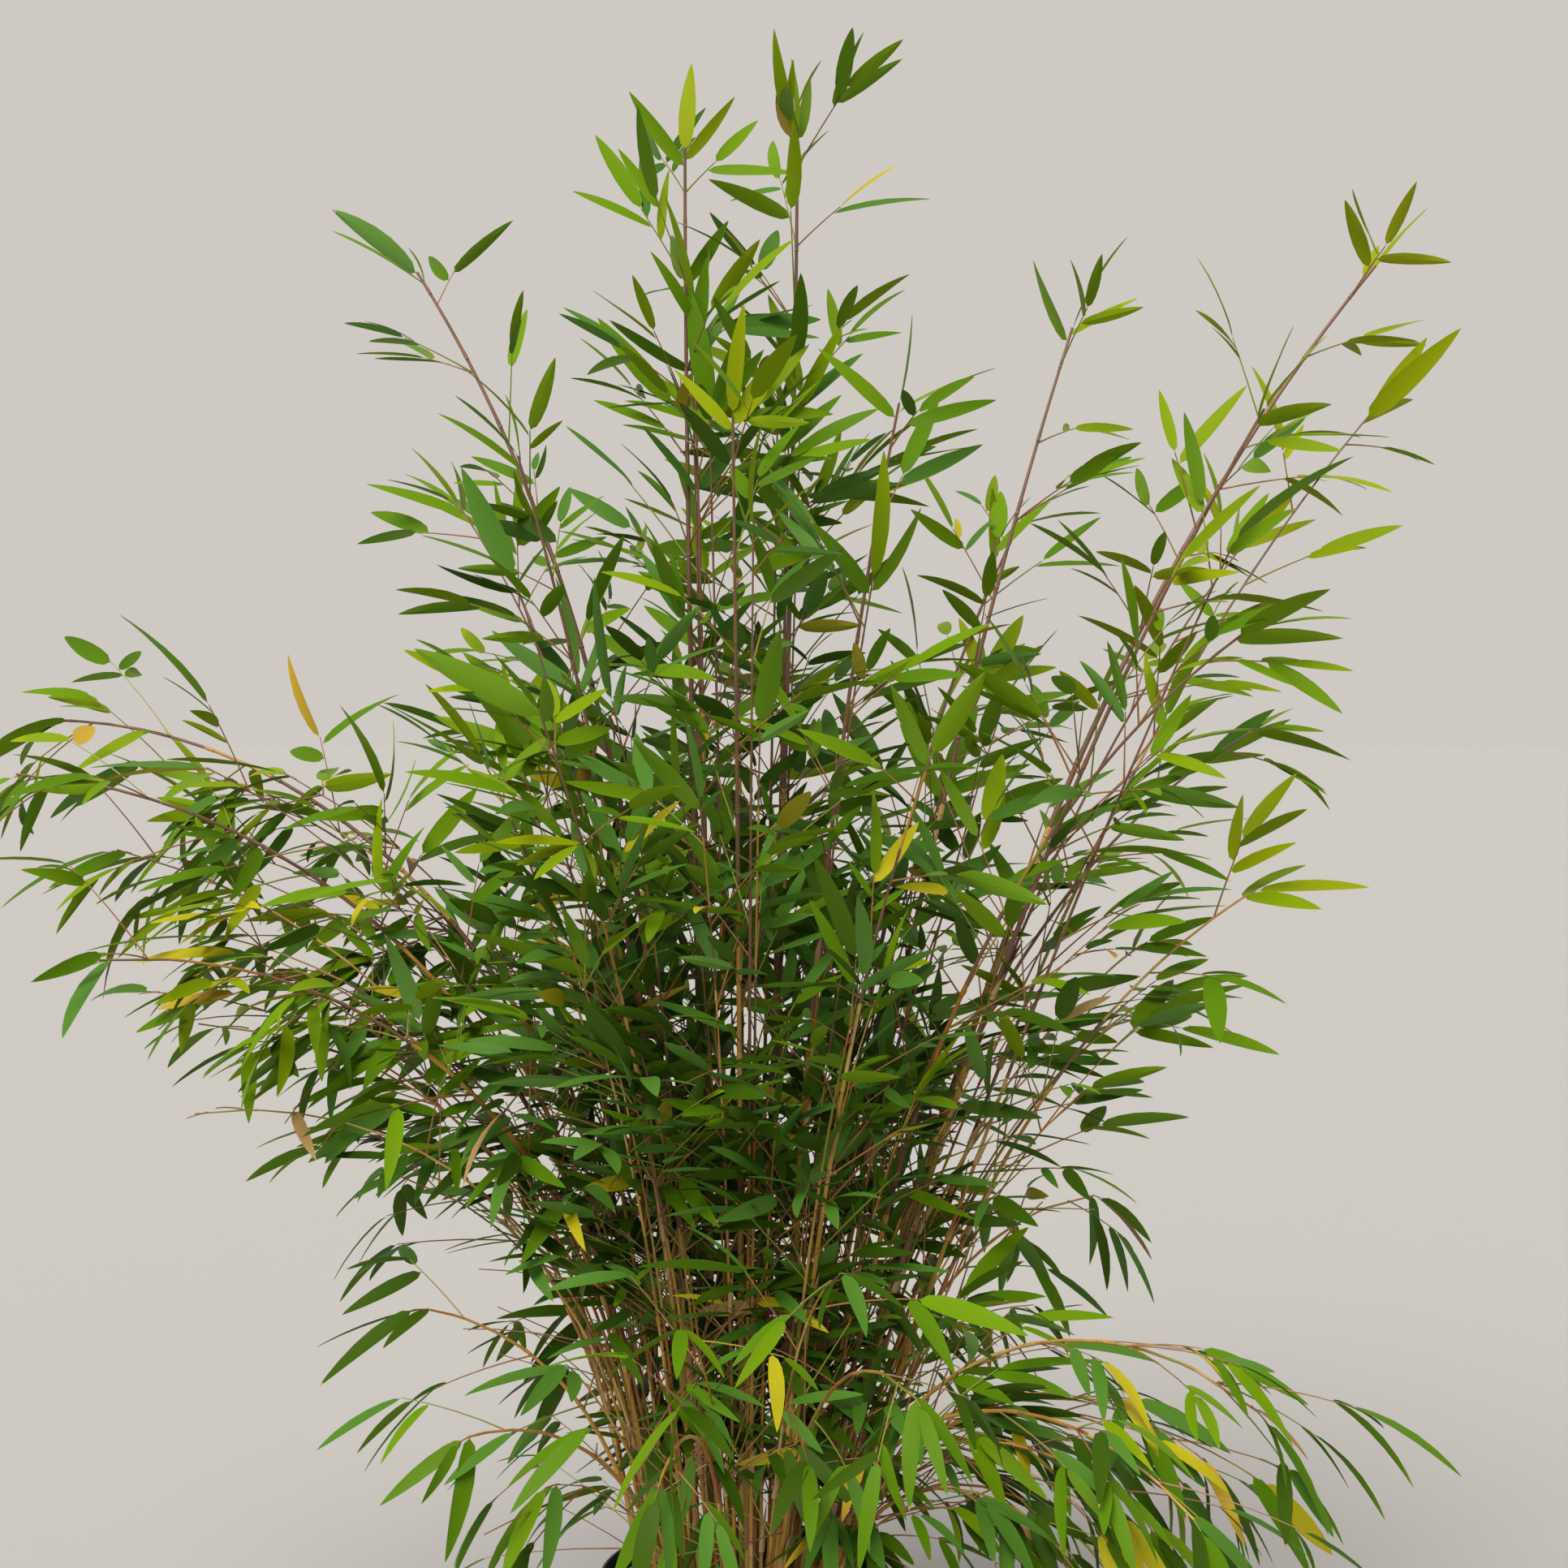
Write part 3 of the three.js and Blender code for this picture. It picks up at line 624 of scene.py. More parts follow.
cane_finishes = [
    finish(f"cane_{tone}", first, roughness, second, patch=45, depth=0.00025, stretch=(1, 1, 0.15))
    for tone, (first, second, roughness) in CANE_COLOURS.items()
]
print(len(cane_finishes), "finishes for canes")

# %% [markdown]
# ## Thinner canes
# Between the leading canes of a real clump stand many thinner and shorter ones. Some follow a leading
# cane: its row is taken with small changes. A row here gives how many there are in a group, the least
# and the greatest share of the leader's bow and of its length, and a share of its leafless stretch.
# Others stand inside the clump. They are turned on round it one after another, by the same angle as
# twigs round a stem, which spreads any number of them evenly.

# %% The rows of thinner canes
Follow = namedtuple("Follow", "count least_bow most_bow shortest longest bare")
FOLLOWERS = {
    "spires": Follow(8, 0.8, 1.3, 0.70, 0.97, 1.0),
    "upright": Follow(8, 0.8, 1.1, 0.60, 0.92, 1.0),
    "right": Follow(13, 0.75, 1.0, 0.62, 0.93, 1.0),
    "left": Follow(21, 0.68, 1.0, 0.55, 0.95, 1.0),
    "droop": Follow(8, 0.95, 1.12, 0.62, 0.90, 0.5),
    "shoots": Follow(5, 0.35, 0.95, 0.60, 1.0, 1.0),
    "back": Follow(7, 0.75, 1.0, 0.62, 0.93, 1.0),
    "back_low": Follow(4, 0.8, 1.1, 0.65, 1.05, 1.0),
}
INNER_CANES = 32
INNER_RADIUS = 0.090
WIDEST_FOOT = 0.108


def follower_rows(rng):
    """Thinner canes beside the leading ones, each in the group of the cane that it follows."""
    rows = []
    for group, follow in FOLLOWERS.items():
        followed = list(CANES[group].values())
        for i in range(follow.count):
            cane = followed[i % len(followed)]
            rows.append((group, Cane(
                cane.turn + rng.uniform(-8, 8),
                cane.lean + rng.uniform(-2, 3),
                cane.bow * rng.uniform(follow.least_bow, follow.most_bow) + 2,
                cane.bend,
                cane.length * rng.uniform(follow.shortest, follow.longest),
                min(WIDEST_FOOT, cane.foot + rng.uniform(-0.03, 0.03)),
                rng.uniform(0.8, 1.1) * follow.bare * cane.bare,
            )))
    return rows


def inner_rows(rng):
    """Short canes that fill the middle of the clump, turned on round it one after another."""
    rows = []
    for i in range(INNER_CANES):
        rows.append(("inner", Cane(
            math.degrees(TWIG_TURN) * i,
            rng.uniform(1, 7),
            rng.uniform(6, 34),
            2,
            rng.uniform(0.42, 0.95),
            INNER_RADIUS * math.sqrt(rng.uniform(0.05, 1)),
            rng.uniform(0.05, 0.26),
        )))
    return rows


# %% Make the canes, group by group
LEADING_SIDES = 9
SLENDER_SIDES = 6
rng = random.Random(23)
companions = follower_rows(rng) + inner_rows(rng)
print(len(companions), "thinner canes")
cad_nodes = set(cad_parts)
for group, rows in CANES.items():
    joined = Joined()
    rng = random.Random(31)
    for name, cane in rows.items():
        add_cane(joined, cane, centre_line(cane), 1.0, LEADING_SIDES, rng)
    nodes = [f"cane_{name}" for name in rows if f"cane_{name}" in cad_nodes]
    belongs(joined.piece(f"canes_{group}", cane_finishes), "canes", *nodes)
joined = Joined()
rng = random.Random(37)
for _, cane in companions:
    add_cane(joined, cane, centre_line(cane), rng.uniform(0.55, 0.8), SLENDER_SIDES, rng)
belongs(joined.piece("canes_slender", cane_finishes), "canes")

# %% [markdown]
# ## Dry sheaths
# A young cane grows out of papery sheaths, one at each joint. They dry to a tan colour, come loose at
# the top and hang on for a year or two. Each is a thin shell that wraps part of the way round the cane
# and narrows to a point. It is made like a tube, but its ring is an outer arc and an inner arc back.

# %% Sheaths on the lower joints
SHEATH_SHARES = (0.0, 0.3, 0.6, 0.85, 1.0)
SHEATH_CHANCE = 0.36
SHEATHED_SHARE = 0.62
ARC_POINTS = 5
PAPER = 0.0004


def add_sheath(joined, foot, way, radius, length, turn, tone, rng):
    start = np.array([math.cos(turn), math.sin(turn), 0.1])
    side, other = side_directions(np.array([foot, foot + way]), start)[0]
    flare = rng.uniform(0.3, 1.6)
    widest = rng.uniform(1.5, 2.5)
    rings = []
    for share in SHEATH_SHARES:
        half = widest * (1 - share ** 1.4) + 0.12
        angles = turn + np.linspace(-half, half, ARC_POINTS)
        out = radius * (1.18 + flare * share * share) + PAPER
        centre = foot + way * (length * share)
        for r, swing in ((out, angles), (out - PAPER, angles[::-1])):
            rings.append(centre + np.outer(np.cos(swing), side) * r + np.outer(np.sin(swing), other) * r)
    faces = ring_faces(len(SHEATH_SHARES), 2 * ARC_POINTS)
    joined.add(np.vstack(rings), faces, [tone] * len(faces))


joined = Joined()
rng = random.Random(43)
leading = [(group, cane) for group, rows in CANES.items() for cane in rows.values()]
for _, cane in leading + companions:
    line = centre_line(cane)
    joints = int(SHEATHED_SHARE * cane.length / INTERNODE)
    for number in range(joints):
        if rng.random() < SHEATH_CHANCE:
            share = max(number * INTERNODE / cane.length, 0.01)
            add_sheath(joined, point_at(line, share), way_at(line, share), radius_at(cane, share),
                       rng.uniform(0.026, 0.058), math.pi * number + rng.uniform(-0.6, 0.6),
                       rng.randrange(2), rng)
sheath_finishes = [
    finish("sheath_tan", "c8a878", 0.75, second="ad8a5c", patch=70, depth=0.0003, stretch=(1, 1, 0.2)),
    finish("sheath_brown", "a98158", 0.78, second="8a6644", patch=70, depth=0.0003, stretch=(1, 1, 0.2)),
]
belongs(joined.piece("dry_sheaths", sheath_finishes, crease=50), "canes")

# %% [markdown]
# ## Twigs and sprays of leaves
# At each joint of a leafy stem springs a bundle of twigs, turned on round the stem from one joint to
# the next. A twig bends down a little and ends in a spray: one leaf at its tip and more beside it, left
# and right in turn. On the canes that bow far over, and low down, leaves hang. The rule is the one that
# the solids grew by, carried on to more and finer twigs. A leaf that would leave the plant's box, enter
# the pot or lie in another leaf is turned to another side or left out. Leaves low down and far out,
# under the boughs, get little light and have dropped.

# %% Where there is room
LEAF_ROOM = 0.0085
CELL = 0.012
BOX_MARGIN = 0.008
POT_CLEARANCE = 0.006
LEAST_HEIGHT = 0.130
MARKS = (0.35, 0.6, 0.85)
cells = {}


def in_free_air(point):
    """Within the solids' box, and clear of the pot and the floor."""
    if np.any(point < CAD_LOW - BOX_MARGIN) or np.any(point > CAD_HIGH + BOX_MARGIN):
        return False
    outside = math.hypot(point[0], point[1]) > RIM_RADIUS + POT_CLEARANCE
    return point[2] > (LEAST_HEIGHT if outside else POT_HEIGHT + POT_CLEARANCE)


def near_cells(point):
    x, y, z = (int(c // CELL) for c in point)
    return [(x + i, y + j, z + k) for i in (-1, 0, 1) for j in (-1, 0, 1) for k in (-1, 0, 1)]


def has_room(marks):
    for mark in marks:
        for key in near_cells(mark):
            for other in cells.get(key, ()):
                if math.dist(mark, other) < LEAF_ROOM:
                    return False
    return True


def take_room(marks):
    for mark in marks:
        cells.setdefault(tuple(int(c // CELL) for c in mark), []).append(tuple(mark))


# %% Tints, painted darker in the shaded inside and lighter at the bright tips
TINTS = ["deep", "sea", "green", "leaf", "fresh", "lime"]
FADED = ["gold", "amber", "dry"]
FADED_SHARES = [0.70, 0.14, 0.16]
ALL_TINTS = TINTS + FADED
DARK_HEIGHT = 0.35
BRIGHT_HEIGHT = 1.60
LOW_REACH = 0.32
HIGH_REACH = 0.67
PAINTED_LIGHT_AT_TOP = 0.52
PAINTED_LIGHT_AT_EDGE = 0.20
MORE_AT_HIGH_EDGE = 0.16
TINT_SPREAD = 0.15


def height_share(point):
    """0 in the dark foot of the clump and 1 in its bright top."""
    return min(max((point[2] - DARK_HEIGHT) / (BRIGHT_HEIGHT - DARK_HEIGHT), 0), 1)


def spray_tint(tip, rng):
    """A spray's tint, lighter and yellower the higher and further out it is: painted shade inside the
    clump, painted light at its top and tips.
    """
    high = height_share(tip)
    far = min(math.hypot(tip[0], tip[1]) / (LOW_REACH + (HIGH_REACH - LOW_REACH) * high), 1)
    painted_edge_light = (PAINTED_LIGHT_AT_EDGE + MORE_AT_HIGH_EDGE * high) * far * far
    # Painted light and shade: the tint grows lighter with height and with distance out from the clump's
    # middle.
    light = PAINTED_LIGHT_AT_TOP * high + painted_edge_light + rng.gauss(0, TINT_SPREAD)
    return min(max(int(light * len(TINTS)), 0), len(TINTS) - 1)


# %% The growing rule
Leaf = namedtuple("Leaf", "root along face length width droop twist tint tipped")
TWIG_STEPS = 4
TWIG_RADIUS = 0.001
TIP_SPRAY_AT = 0.985
TIP_SPRAY_LENGTH = 0.02
TIP_SPRAY_LEAVES = 3
TIP_LEAF_SCALE = 1.22
SAG_FROM = 40
FULL_SAG_AT = 100
LEAF_LENGTH = 0.082
TOP_GROWTH = 0.22
LEAF_STEP = 0.011
LEAF_WEIGHT = 0.06
HANG_BELOW = 0.76
HANG_DEPTH = 0.40
LEVELLING = 0.35
OTHER_TINT_CHANCE = 0.45
TIPPED_PER_YELLOWING = 5
BARE_TWIG_CHANCE = 0.25
SHADE_RADIUS = 0.19
SHADE_HEIGHT = 0.55
SHADE_RISE = 0.64
TRIES = 4


def branching(way, slope, turn):
    """A way that leaves another one at a slope, turned on round it."""
    level = np.array([1.0, 0, 0]) if abs(way[2]) > 0.95 else UP
    side = unit(np.cross(way, level))
    across = np.cross(side, way)
    return way * math.cos(slope) + (side * math.cos(turn) + across * math.sin(turn)) * math.sin(slope)


def twig_line(start, way, length, fall):
    """A line that bends down a little at each step, and its way at the end."""
    line = [start]
    for _ in range(TWIG_STEPS):
        way = unit(way - UP * fall)
        line.append(line[-1] + way * length / TWIG_STEPS)
    return np.array(line), way


def leaf_centre(leaf, share):
    """The middle of the blade, a share of the way to its tip. It droops more and more."""
    straight = leaf.root + leaf.along * (leaf.length * share)
    return straight - leaf.face * (leaf.droop * leaf.length * share ** 2)


def find_leaf(root, way, face, angle, sag, scale, tint, habit, rng):
    """A leaf at an angle from its twig's way, in the plane of the spray, where there is room for it."""
    side = np.cross(face, way)
    high = height_share(root)
    flat = 1 - high ** 1.4
    low = min(max((HANG_BELOW - root[2]) / HANG_DEPTH, 0), 1)
    for attempt in range(TRIES):
        bent = angle + rng.uniform(-0.12, 0.12) * (1 + attempt)
        along = way * math.cos(bent) + side * math.sin(bent) + face * rng.uniform(-0.25, 0.2)
        along[2] *= 1 - LEVELLING * flat
        pull = sag * sag * rng.uniform(0.05, 0.55) + low * rng.uniform(0.1, 1.0)
        along = unit(along - UP * (LEAF_WEIGHT + habit.hang * pull))
        roll = rng.gauss(0, 0.3 + 0.4 * high)
        across = unit(np.cross(face + UP * (0.8 * flat), along))
        level = np.cross(along, across)
        turned_face = level * math.cos(roll) + across * math.sin(roll)
        length = LEAF_LENGTH * scale * (1 + TOP_GROWTH * high * high) * rng.triangular(0.46, 1.2, 0.96)
        chance = rng.random()
        own = tint
        if chance < habit.yellowing:
            own = ALL_TINTS.index(rng.choices(FADED, FADED_SHARES)[0])
        elif chance < OTHER_TINT_CHANCE:
            own = min(max(tint + rng.choice((-2, -1, 1, 1)), 0), len(TINTS) - 1)
        slim = rng.uniform(4.3, 6.2) + 0.5 * low + 0.9 * high * high
        leaf = Leaf(root, along, turned_face, length, length / slim,
                    rng.uniform(0.03, 0.2) + 0.12 * sag, rng.uniform(-0.5, 0.5), own,
                    rng.random() < TIPPED_PER_YELLOWING * habit.yellowing)
        marks = [leaf_centre(leaf, share) for share in MARKS]
        free = all(in_free_air(point) for point in marks + [leaf_centre(leaf, 1.0)])
        if free and has_room(marks):
            take_room(marks)
            return leaf
    return None


def in_shade(leaf):
    """Low down and far out, under the boughs, where a leaf gets too little light and drops."""
    tip = leaf_centre(leaf, 1.0)
    away = math.hypot(tip[0], tip[1])
    return away > SHADE_RADIUS and tip[2] < SHADE_HEIGHT + SHADE_RISE * (away - SHADE_RADIUS)


def grow_spray(twigs, leaves, start, way, length, count, sag, habit, rng):
    """A twig with its leaves. A twig without any is kept now and then, as on the real plant."""
    line, end_way = twig_line(start, way, length, 0.03 + 0.04 * sag)
    if not all(in_free_air(p) for p in line[1:]):
        return
    to_light = -(0.05 + 0.28 * height_share(start) ** 2)
    face = np.array([rng.gauss(0, 0.3), to_light + rng.gauss(0, 0.3), 1.0])
    face = unit(face - end_way * face.dot(end_way))
    tint = spray_tint(line[-1], rng)
    found = []
    for i in range(count):
        back = LEAF_STEP * i * rng.uniform(0.7, 1.3)
        root = line[-1] - end_way * min(back, 0.8 * length)
        turned = rng.uniform(-10, 10) if i == 0 else (1 - 2 * (i % 2)) * rng.uniform(24, 50)
        angle = math.radians(turned) * habit.spread
        scale = habit.scale * (1 - 0.05 * i)
        found.append(find_leaf(root, end_way, face, angle, sag, scale, tint, habit, rng))
    found = [leaf for leaf in found if leaf and not (habit.shaded and in_shade(leaf))]
    if found or rng.random() < BARE_TWIG_CHANCE:
        twigs.append(line)
        leaves.extend(found)


def grow_foliage(cane, line, habit, rng):
    """The twigs and leaves of one cane, from the tip down to where its bare part begins."""
    twigs, leaves = [], []
    sag = min(max((cane.bow - SAG_FROM) / (FULL_SAG_AT - SAG_FROM), 0), 1)
    joints = int(cane.length * (1 - cane.bare) / INTERNODE)
    grow_spray(twigs, leaves, point_at(line, TIP_SPRAY_AT), way_at(line, 1.0), TIP_SPRAY_LENGTH,
               TIP_SPRAY_LEAVES, sag, habit._replace(scale=TIP_LEAF_SCALE * habit.scale), rng)
    for i in range(joints):
        to_tip = 1 - (i + 0.5) / joints
        share = 1 - (1 - cane.bare) * to_tip
        root = point_at(line, share)
        way = way_at(line, share)
        crowd = habit.tip_share + (1 - habit.tip_share) * to_tip
        number = max(1, round(habit.most_twigs * crowd * rng.uniform(0.6, 1)))
        for k in range(number):
            slope = habit.spread * math.radians(rng.uniform(34, 60) if k == 0 else rng.uniform(22, 66))
            turn = TWIG_TURN * i + (k - (number - 1) / 2) * rng.uniform(0.7, 1.5)
            away = branching(way, slope, turn) + UP * (0.12 - 0.16 * sag * habit.hang)
            away[2] *= 1 if away[2] < 0 else 1 - 0.5 * sag * habit.hang
            length = TWIG_LENGTH * crowd * rng.uniform(0.8, 1.2)
            length *= 1 if k == 0 else rng.uniform(0.3, 0.9)
            count = rng.randint(2, habit.most_leaves)
            grow_spray(twigs, leaves, root, unit(away), length, count, sag, habit, rng)
    grow_bare_twigs(twigs, cane, line, rng)
    return twigs, leaves


def grow_bare_twigs(twigs, cane, line, rng):
    """Thin branchlets that have lost their leaves, on the stretch below the leafy part."""
    joints = int(cane.length * cane.bare / INTERNODE)
    for i in range(2, joints + 4):
        share = i * INTERNODE / cane.length
        for _ in range(rng.choice((0, 0, 0, 1, 1))):
            slope = math.radians(rng.uniform(12, 40))
            way = branching(way_at(line, share), slope, rng.uniform(0, 2 * math.pi))
            length = rng.uniform(0.03, 0.14)
            bare, _ = twig_line(point_at(line, share), way, length, rng.uniform(-0.04, 0.04))
            if all(in_free_air(p) for p in bare[1:]):
                twigs.append(bare)


# %% [markdown]
# ## The habit of each group
# The outer sprays hang and the upper ones reach up, so each group of canes has its own habit: the most
# twigs at a joint and leaves in a spray, the share of the twigs that is left at the tip, the size of a
# leaf, how widely twigs and leaves spread, how much they hang, the chance that a leaf is faded, and
# whether shaded leaves drop. Thin canes grow a twig and a leaf fewer, but not under two twigs.

# %% Grow all of it
Habit = namedtuple("Habit", "most_twigs most_leaves tip_share scale spread hang yellowing shaded")
HABITS = {
    "spires": Habit(4, 4, 0.66, 1.04, 1.1, 1.0, 0.035, True),
    "upright": Habit(3, 4, 0.45, 1.04, 1.0, 1.0, 0.030, True),
    "right": Habit(3, 4, 0.42, 1.06, 1.0, 1.0, 0.030, True),
    "left": Habit(4, 5, 0.62, 1.12, 1.12, 1.0, 0.040, True),
    "droop": Habit(4, 4, 0.70, 1.14, 0.7, 0.3, 0.090, False),
    "low": Habit(2, 3, 0.60, 1.12, 1.0, 1.0, 0.035, False),
    "shoots": Habit(2, 3, 0.60, 1.06, 1.0, 1.0, 0.035, False),
    "back": Habit(3, 4, 0.45, 1.06, 1.0, 1.0, 0.012, True),
    "back_low": Habit(3, 4, 0.50, 1.08, 1.0, 1.0, 0.020, False),
    "inner": Habit(4, 4, 0.60, 1.02, 1.0, 1.0, 0.022, True),
}
grown = {group: ([], []) for group in HABITS}
for index, (group, cane) in enumerate(leading + companions):
    habit = HABITS[group]
    if index >= len(leading):
        fewer_twigs = max(2, habit.most_twigs - 1)
        habit = habit._replace(most_twigs=fewer_twigs, most_leaves=habit.most_leaves - 1)
    twigs, leaves = grow_foliage(cane, centre_line(cane), habit, random.Random(100 + index))
    grown[group][0].extend(twigs)
    grown[group][1].extend(leaves)
for group, (twigs, leaves) in grown.items():
    print(group, len(twigs), "twigs and", len(leaves), "leaves")

# %% [markdown]
# ## The shape of a leaf
# A bamboo leaf has a short stalk, a rounded foot, nearly parallel sides and a long drawn-out tip. It is
# creased along its middle and arches over. A flat plane with a picture of a leaf would be the quick
# way, but a real outline stays sharp from any distance. Each leaf is a thin closed mesh: an upper and a
# lower skin that meet in the two edges. Each skin has its own finish, as the underside is paler. The
# undersides of the light tints stay a strong yellow-green: painted light shining through the leaf.

# %% Leaves from arrays
STATIONS = np.array([0.03, 0.08, 0.20, 0.38, 0.57, 0.75, 0.88, 0.955])
STALK_END = 0.015
FOOT_LENGTH = 0.05
ROUND_FOOT = 0.55
DRAWN_TIP = 0.85
WIDEST_TO_ONE = 2.557
FOLD = 0.17
THICKNESS = 0.0005


def leaf_outline(share):
    """Half the width of a leaf along its length, as a share of its greatest half width."""
    blade = WIDEST_TO_ONE * share ** ROUND_FOOT * (1 - share) ** DRAWN_TIP
    rise = np.clip((share - STALK_END) / FOOT_LENGTH, 0, 1)
    return blade * rise * rise * (3 - 2 * rise)


def leaf_faces():
    """The faces of one leaf. With each go 1 for the upper skin, and 1 or 2 for close to the tip."""
    n = len(STATIONS)
    root, tip = 0, 4 * n + 1
    left, right, top, bottom = ([1 + 4 * i + k for i in range(n)] for k in range(4))
    rows = [((root, top[0], left[0]), 1, 0), ((root, right[0], top[0]), 1, 0),
            ((root, left[0], bottom[0]), 0, 0), ((root, bottom[0], right[0]), 0, 0)]
    for i in range(n - 1):
        j = i + 1
        near_tip = int(j >= n - 2)
        upper = [(top[i], top[j], left[j]), (top[i], left[j], left[i]),
                 (top[i], right[j], top[j]), (top[i], right[i], right[j])]
        under = [(bottom[i], left[j], bottom[j]), (bottom[i], left[i], left[j]),
                 (bottom[i], bottom[j], right[j]), (bottom[i], right[j], right[i])]
        rows += [(face, 1, near_tip) for face in upper] + [(face, 0, near_tip) for face in under]
    rows += [((top[-1], tip, left[-1]), 1, 2), ((right[-1], tip, top[-1]), 1, 2),
             ((left[-1], tip, bottom[-1]), 0, 2), ((bottom[-1], tip, right[-1]), 0, 2)]
    return rows


LEAF_FACES = leaf_faces()
print(len(LEAF_FACES), "faces in a leaf")
LIGHT_GREENS = (TINTS.index("fresh"), TINTS.index("lime"))
TIP_TINTS = {1: ALL_TINTS.index("lime"), 2: ALL_TINTS.index("gold")}
DRY = ALL_TINTS.index("dry")


def face_tint(leaf, near_tip):
    """Light leaves turn yellow towards the tip, and dark ones only dry out at its very end."""
    if near_tip and leaf.tipped:
        if leaf.tint in LIGHT_GREENS:
            return TIP_TINTS[near_tip]
        if leaf.tint < len(TINTS) and near_tip == 2:
            return DRY
    return leaf.tint


def leaf_points(leaf):
    """The root, four points at each station (its two edges, top and bottom), and the tip."""
    across = unit(np.cross(leaf.face, leaf.along))
    points = [leaf.root]
    for share in STATIONS:
        centre = leaf_centre(leaf, share)
        way = unit(leaf.along - leaf.face * (2 * leaf.droop * share))
        turn = leaf.twist * share
        normal = np.cross(way, across)
        side = across * math.cos(turn) + normal * math.sin(turn)
        normal = np.cross(way, side)
        half = leaf.width / 2 * leaf_outline(share)
        lift = normal * (FOLD * half)
        points += [centre + side * half + lift, centre - side * half + lift,
                   centre + normal * THICKNESS / 2, centre - normal * THICKNESS / 2]
    points.append(leaf_centre(leaf, 1.0))
    return points


def leaf_uv():
    rows = [(0.5, 0.0)]
    for share in STATIONS:
        half = 0.5 * leaf_outline(share)
        rows += [(0.5 + half, share), (0.5 - half, share), (0.5, share), (0.5, share)]
    return rows + [(0.5, 1.0)]


def make_leaves(name, leaves, finishes):
    points, faces, which = [], [], []
    for leaf in leaves:
        base = len(points)
        points += leaf_points(leaf)
        for face, upper, near_tip in LEAF_FACES:
            faces.append(tuple(base + corner for corner in face))
            which.append(2 * face_tint(leaf, near_tip) + (0 if upper else 1))
    return make_piece(name, points, faces, finishes, which, uv=leaf_uv() * len(leaves), crease=24)


# %% [markdown]
# ## The finish of a leaf
# The tints are plain base colours, dealt out by spray. A midrib and fine veins run along the blade in
# relief. They follow the leaf, so they read its own UV map: u goes across the leaf, and v from root to
# tip. The upper side is a little glossy, and the underside is matt.

# %% Upper and under side in each tint
# Most undersides are paler and a little bluer. Those of the light tints stay a strong yellow-green:
# painted light shining through the leaf from above.
LEAF_COLOURS = {
    "deep": ("375209", "4a681e"),
    "sea": ("4a7426", "5e883a"),
    "green": ("507409", "60841c"),
    "leaf": ("628408", "6e8e14"),
    "fresh": ("738c05", "78910c"),
    "lime": ("849406", "8a9812"),
    "gold": ("aea61c", "a8a030"),
    "amber": ("b0942a", "a68c38"),
    "dry": ("a08354", "a88f68"),
}
RIB_EDGES = (0.45, 0.55)
UPPER_ROUGHNESS = 0.48
UNDER_ROUGHNESS = 0.62


def leaf_finish(name, colour, roughness):
    """A material of one colour, with a midrib and fine veins in relief."""
    material, nodes, links, shader = plain_finish(name, colour, roughness)
    shader.inputs["Specular IOR Level"].default_value = 0.07
    place = nodes.new("ShaderNodeUVMap")
    place.uv_map = "leaf"
    veins = nodes.new("ShaderNodeTexWave")
    veins.bands_direction = "X"
    veins.inputs["Scale"].default_value = 2.8
    veins.inputs["Distortion"].default_value = 0.2
    fine = nodes.new("ShaderNodeBump")
    fine.inputs["Distance"].default_value = 0.0001
    fine.inputs["Strength"].default_value = 0.1
    links.new(place.outputs["UV"], veins.inputs["Vector"])
    links.new(veins.outputs["Fac"], fine.inputs["Height"])
    across = nodes.new("ShaderNodeSeparateXYZ")
    links.new(place.outputs["UV"], across.inputs["Vector"])
    rib = nodes.new("ShaderNodeValToRGB")
    rib.color_ramp.interpolation = "EASE"
    for element, position in zip(rib.color_ramp.elements, RIB_EDGES):
        element.position = position
        element.color = (0, 0, 0, 1)
    rib.color_ramp.elements.new(sum(RIB_EDGES) / 2).color = (1, 1, 1, 1)
    links.new(across.outputs["X"], rib.inputs["Fac"])
    broad = nodes.new("ShaderNodeBump")
    broad.inputs["Distance"].default_value = 0.0004
    broad.inputs["Strength"].default_value = 0.3
    links.new(rib.outputs["Color"], broad.inputs["Height"])
    links.new(fine.outputs["Normal"], broad.inputs["Normal"])
    links.new(broad.outputs["Normal"], shader.inputs["Normal"])
    return material


leaf_finishes = []
for tint in ALL_TINTS:
    upper, under = LEAF_COLOURS[tint]
    leaf_finishes.append(leaf_finish(f"leaf_{tint}", upper, UPPER_ROUGHNESS))
    leaf_finishes.append(leaf_finish(f"leaf_{tint}_under", under, UNDER_ROUGHNESS))
print(len(leaf_finishes), "finishes for leaves")

# %% Make the twigs and leaves, group by group
GREEN_TWIGS = 0.35
THIN_END = 0.55
twig_finishes = [
    finish("twig_brown", "976a38", 0.55, second="7c5636", patch=60, depth=0.0002),
    finish("twig_green", "76882c", 0.5, second="8a7c2e", patch=60, depth=0.0002),
]
for group, (twigs, leaves) in grown.items():
    joined = Joined()
    rng = random.Random(41)
    for line in twigs:
        tone = 1 if rng.random() < GREEN_TWIGS else 0
        radii = np.linspace(TWIG_RADIUS, THIN_END * TWIG_RADIUS, len(line))
        start = unit(np.cross(line[1] - line[0], np.array([0.3, 0.9, 0.2])))
        add_tube(joined, line, radii, 4, start, [tone] * (len(line) - 1))
    belongs(joined.piece(f"twigs_{group}", twig_finishes, crease=60), "foliage")
    nodes = [f"foliage_{name}" for name in CANES.get(group, ())]
    belongs(make_leaves(f"leaves_{group}", leaves, leaf_finishes), "foliage", *nodes)

# %% [markdown]
# ## Fallen leaves
# Old leaves drop into the pot and dry on the compost. They are the same shape, laid flat on the lumps,
# most of them tan and a few still yellow.

# %% Lay leaves on the compost
FALLEN = 46
LITTER_RADIUS = 0.128
FALLEN_SHARES = [0.1, 0.12, 0.78]


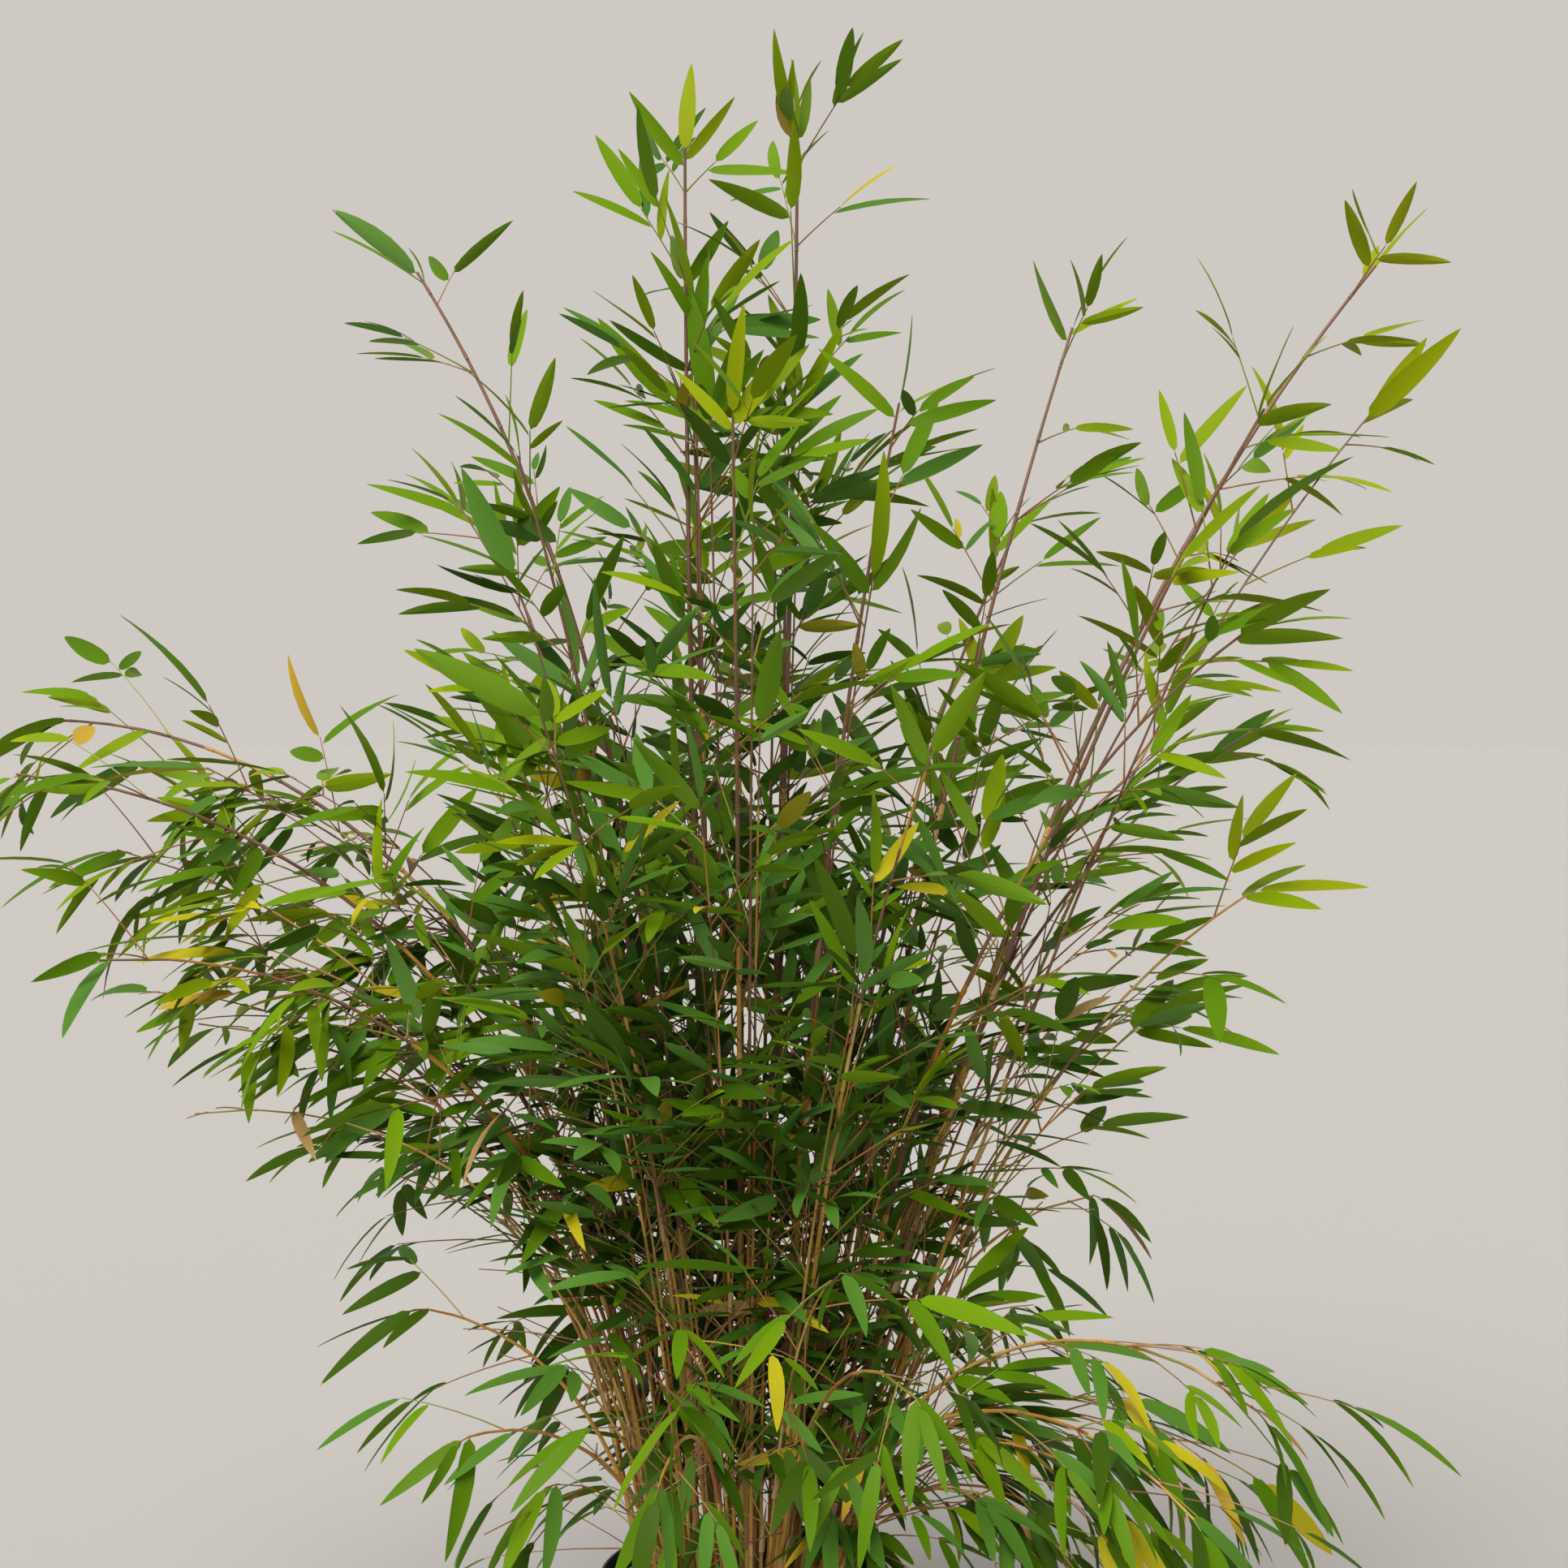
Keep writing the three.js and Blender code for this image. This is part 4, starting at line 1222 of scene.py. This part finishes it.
def fallen_leaf(rng):
    while True:
        away = LITTER_RADIUS * math.sqrt(rng.random())
        around = rng.uniform(0, 2 * math.pi)
        turn = rng.uniform(0, 2 * math.pi)
        length = rng.uniform(0.050, 0.090)
        root = np.array([away * math.cos(around), away * math.sin(around), 0.0])
        level = np.array([math.cos(turn), math.sin(turn), 0.0])
        tip = root + level * length
        if math.hypot(tip[0], tip[1]) < LITTER_RADIUS:
            break
    root[2] = ground_at(root[0], root[1]) + rng.uniform(0.003, 0.007)
    tip[2] = ground_at(tip[0], tip[1]) + rng.uniform(0.004, 0.009)
    along = unit(tip - root)
    face = unit(np.array([rng.gauss(0, 0.2), rng.gauss(0, 0.2), 1.0]))
    face = unit(face - along * face.dot(along))
    tint = ALL_TINTS.index(rng.choices(FADED, FALLEN_SHARES)[0])
    return Leaf(root, along, face, length, length / rng.uniform(4.6, 7), rng.uniform(-0.06, 0.06),
                rng.uniform(-0.9, 0.9), tint, False)


rng = random.Random(47)
litter = [fallen_leaf(rng) for _ in range(FALLEN)]
belongs(make_leaves("fallen_leaves", litter, leaf_finishes), "foliage")

# %% [markdown]
# ## The studio
# A plain pale floor and one wide soft light from above and in front, like a hazy sky. The camera stands
# where it sees the plant as in a photograph taken from chest height, a few steps away, looking slightly
# down.

# %% Floor, light and camera
FLOOR_SIZE = 60
FLOOR_DROP = 0.0005
bpy.ops.object.select_all(action="DESELECT")
bpy.ops.mesh.primitive_plane_add(size=FLOOR_SIZE, location=(0, 0, -FLOOR_DROP))
floor = bpy.context.object
floor.name = "studio_floor"
bpy.ops.object.transform_apply(location=True)
floor.data.materials.append(finish("pale_floor", "aaa9a9", 0.95, grain=40, depth=0.0002))
floor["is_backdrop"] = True

LIGHT_FROM = Vector((-0.35, -0.72, 1.0))
soft_sky = bpy.data.lights.new("soft_sky", "SUN")
soft_sky.energy = 3.6
soft_sky.angle = math.radians(38)
soft_sky.color = (1.0, 0.96, 0.88)
key = bpy.data.objects.new("soft_sky", soft_sky)
key.rotation_euler = (-LIGHT_FROM).to_track_quat("-Z", "Y").to_euler()
bpy.context.scene.collection.objects.link(key)
world = bpy.data.worlds.new("studio")
bpy.context.scene.world = world
world.use_nodes = True
background = world.node_tree.nodes["Background"]
background.inputs["Color"].default_value = (1.0, 0.95, 0.88, 1)
background.inputs["Strength"].default_value = 0.62
bpy.context.scene.view_settings.view_transform = "Standard"

CAMERA_PLACE = (0.040, -2.400, 1.206)
CAMERA_PITCH = math.radians(-3)
FOCAL_PIXELS = 2939
IMAGE_PIXELS = 1932
lens = bpy.data.cameras.new("camera")
lens.sensor_width = 36
lens.lens = FOCAL_PIXELS * lens.sensor_width / IMAGE_PIXELS
lens.clip_end = 100
camera = bpy.data.objects.new("camera", lens)
camera.location = CAMERA_PLACE
camera.rotation_euler = (math.pi / 2 + CAMERA_PITCH, 0, 0)
bpy.context.scene.collection.objects.link(camera)
bpy.context.scene.camera = camera
print("The lens has", round(lens.lens, 1), "mm")

# %% [markdown]
# ## Sizes of both boxes
# The box of the solids and the box of the dressed plant are printed side by side.

# %% Print the two boxes and finish
DRESSED_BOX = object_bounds()
for side, (cad, dressed) in enumerate(zip(zip(*CAD_BOX), zip(*DRESSED_BOX))):
    print("xyz"[side], "solids", [round(c, 3) for c in cad], "dressed", [round(c, 3) for c in dressed])
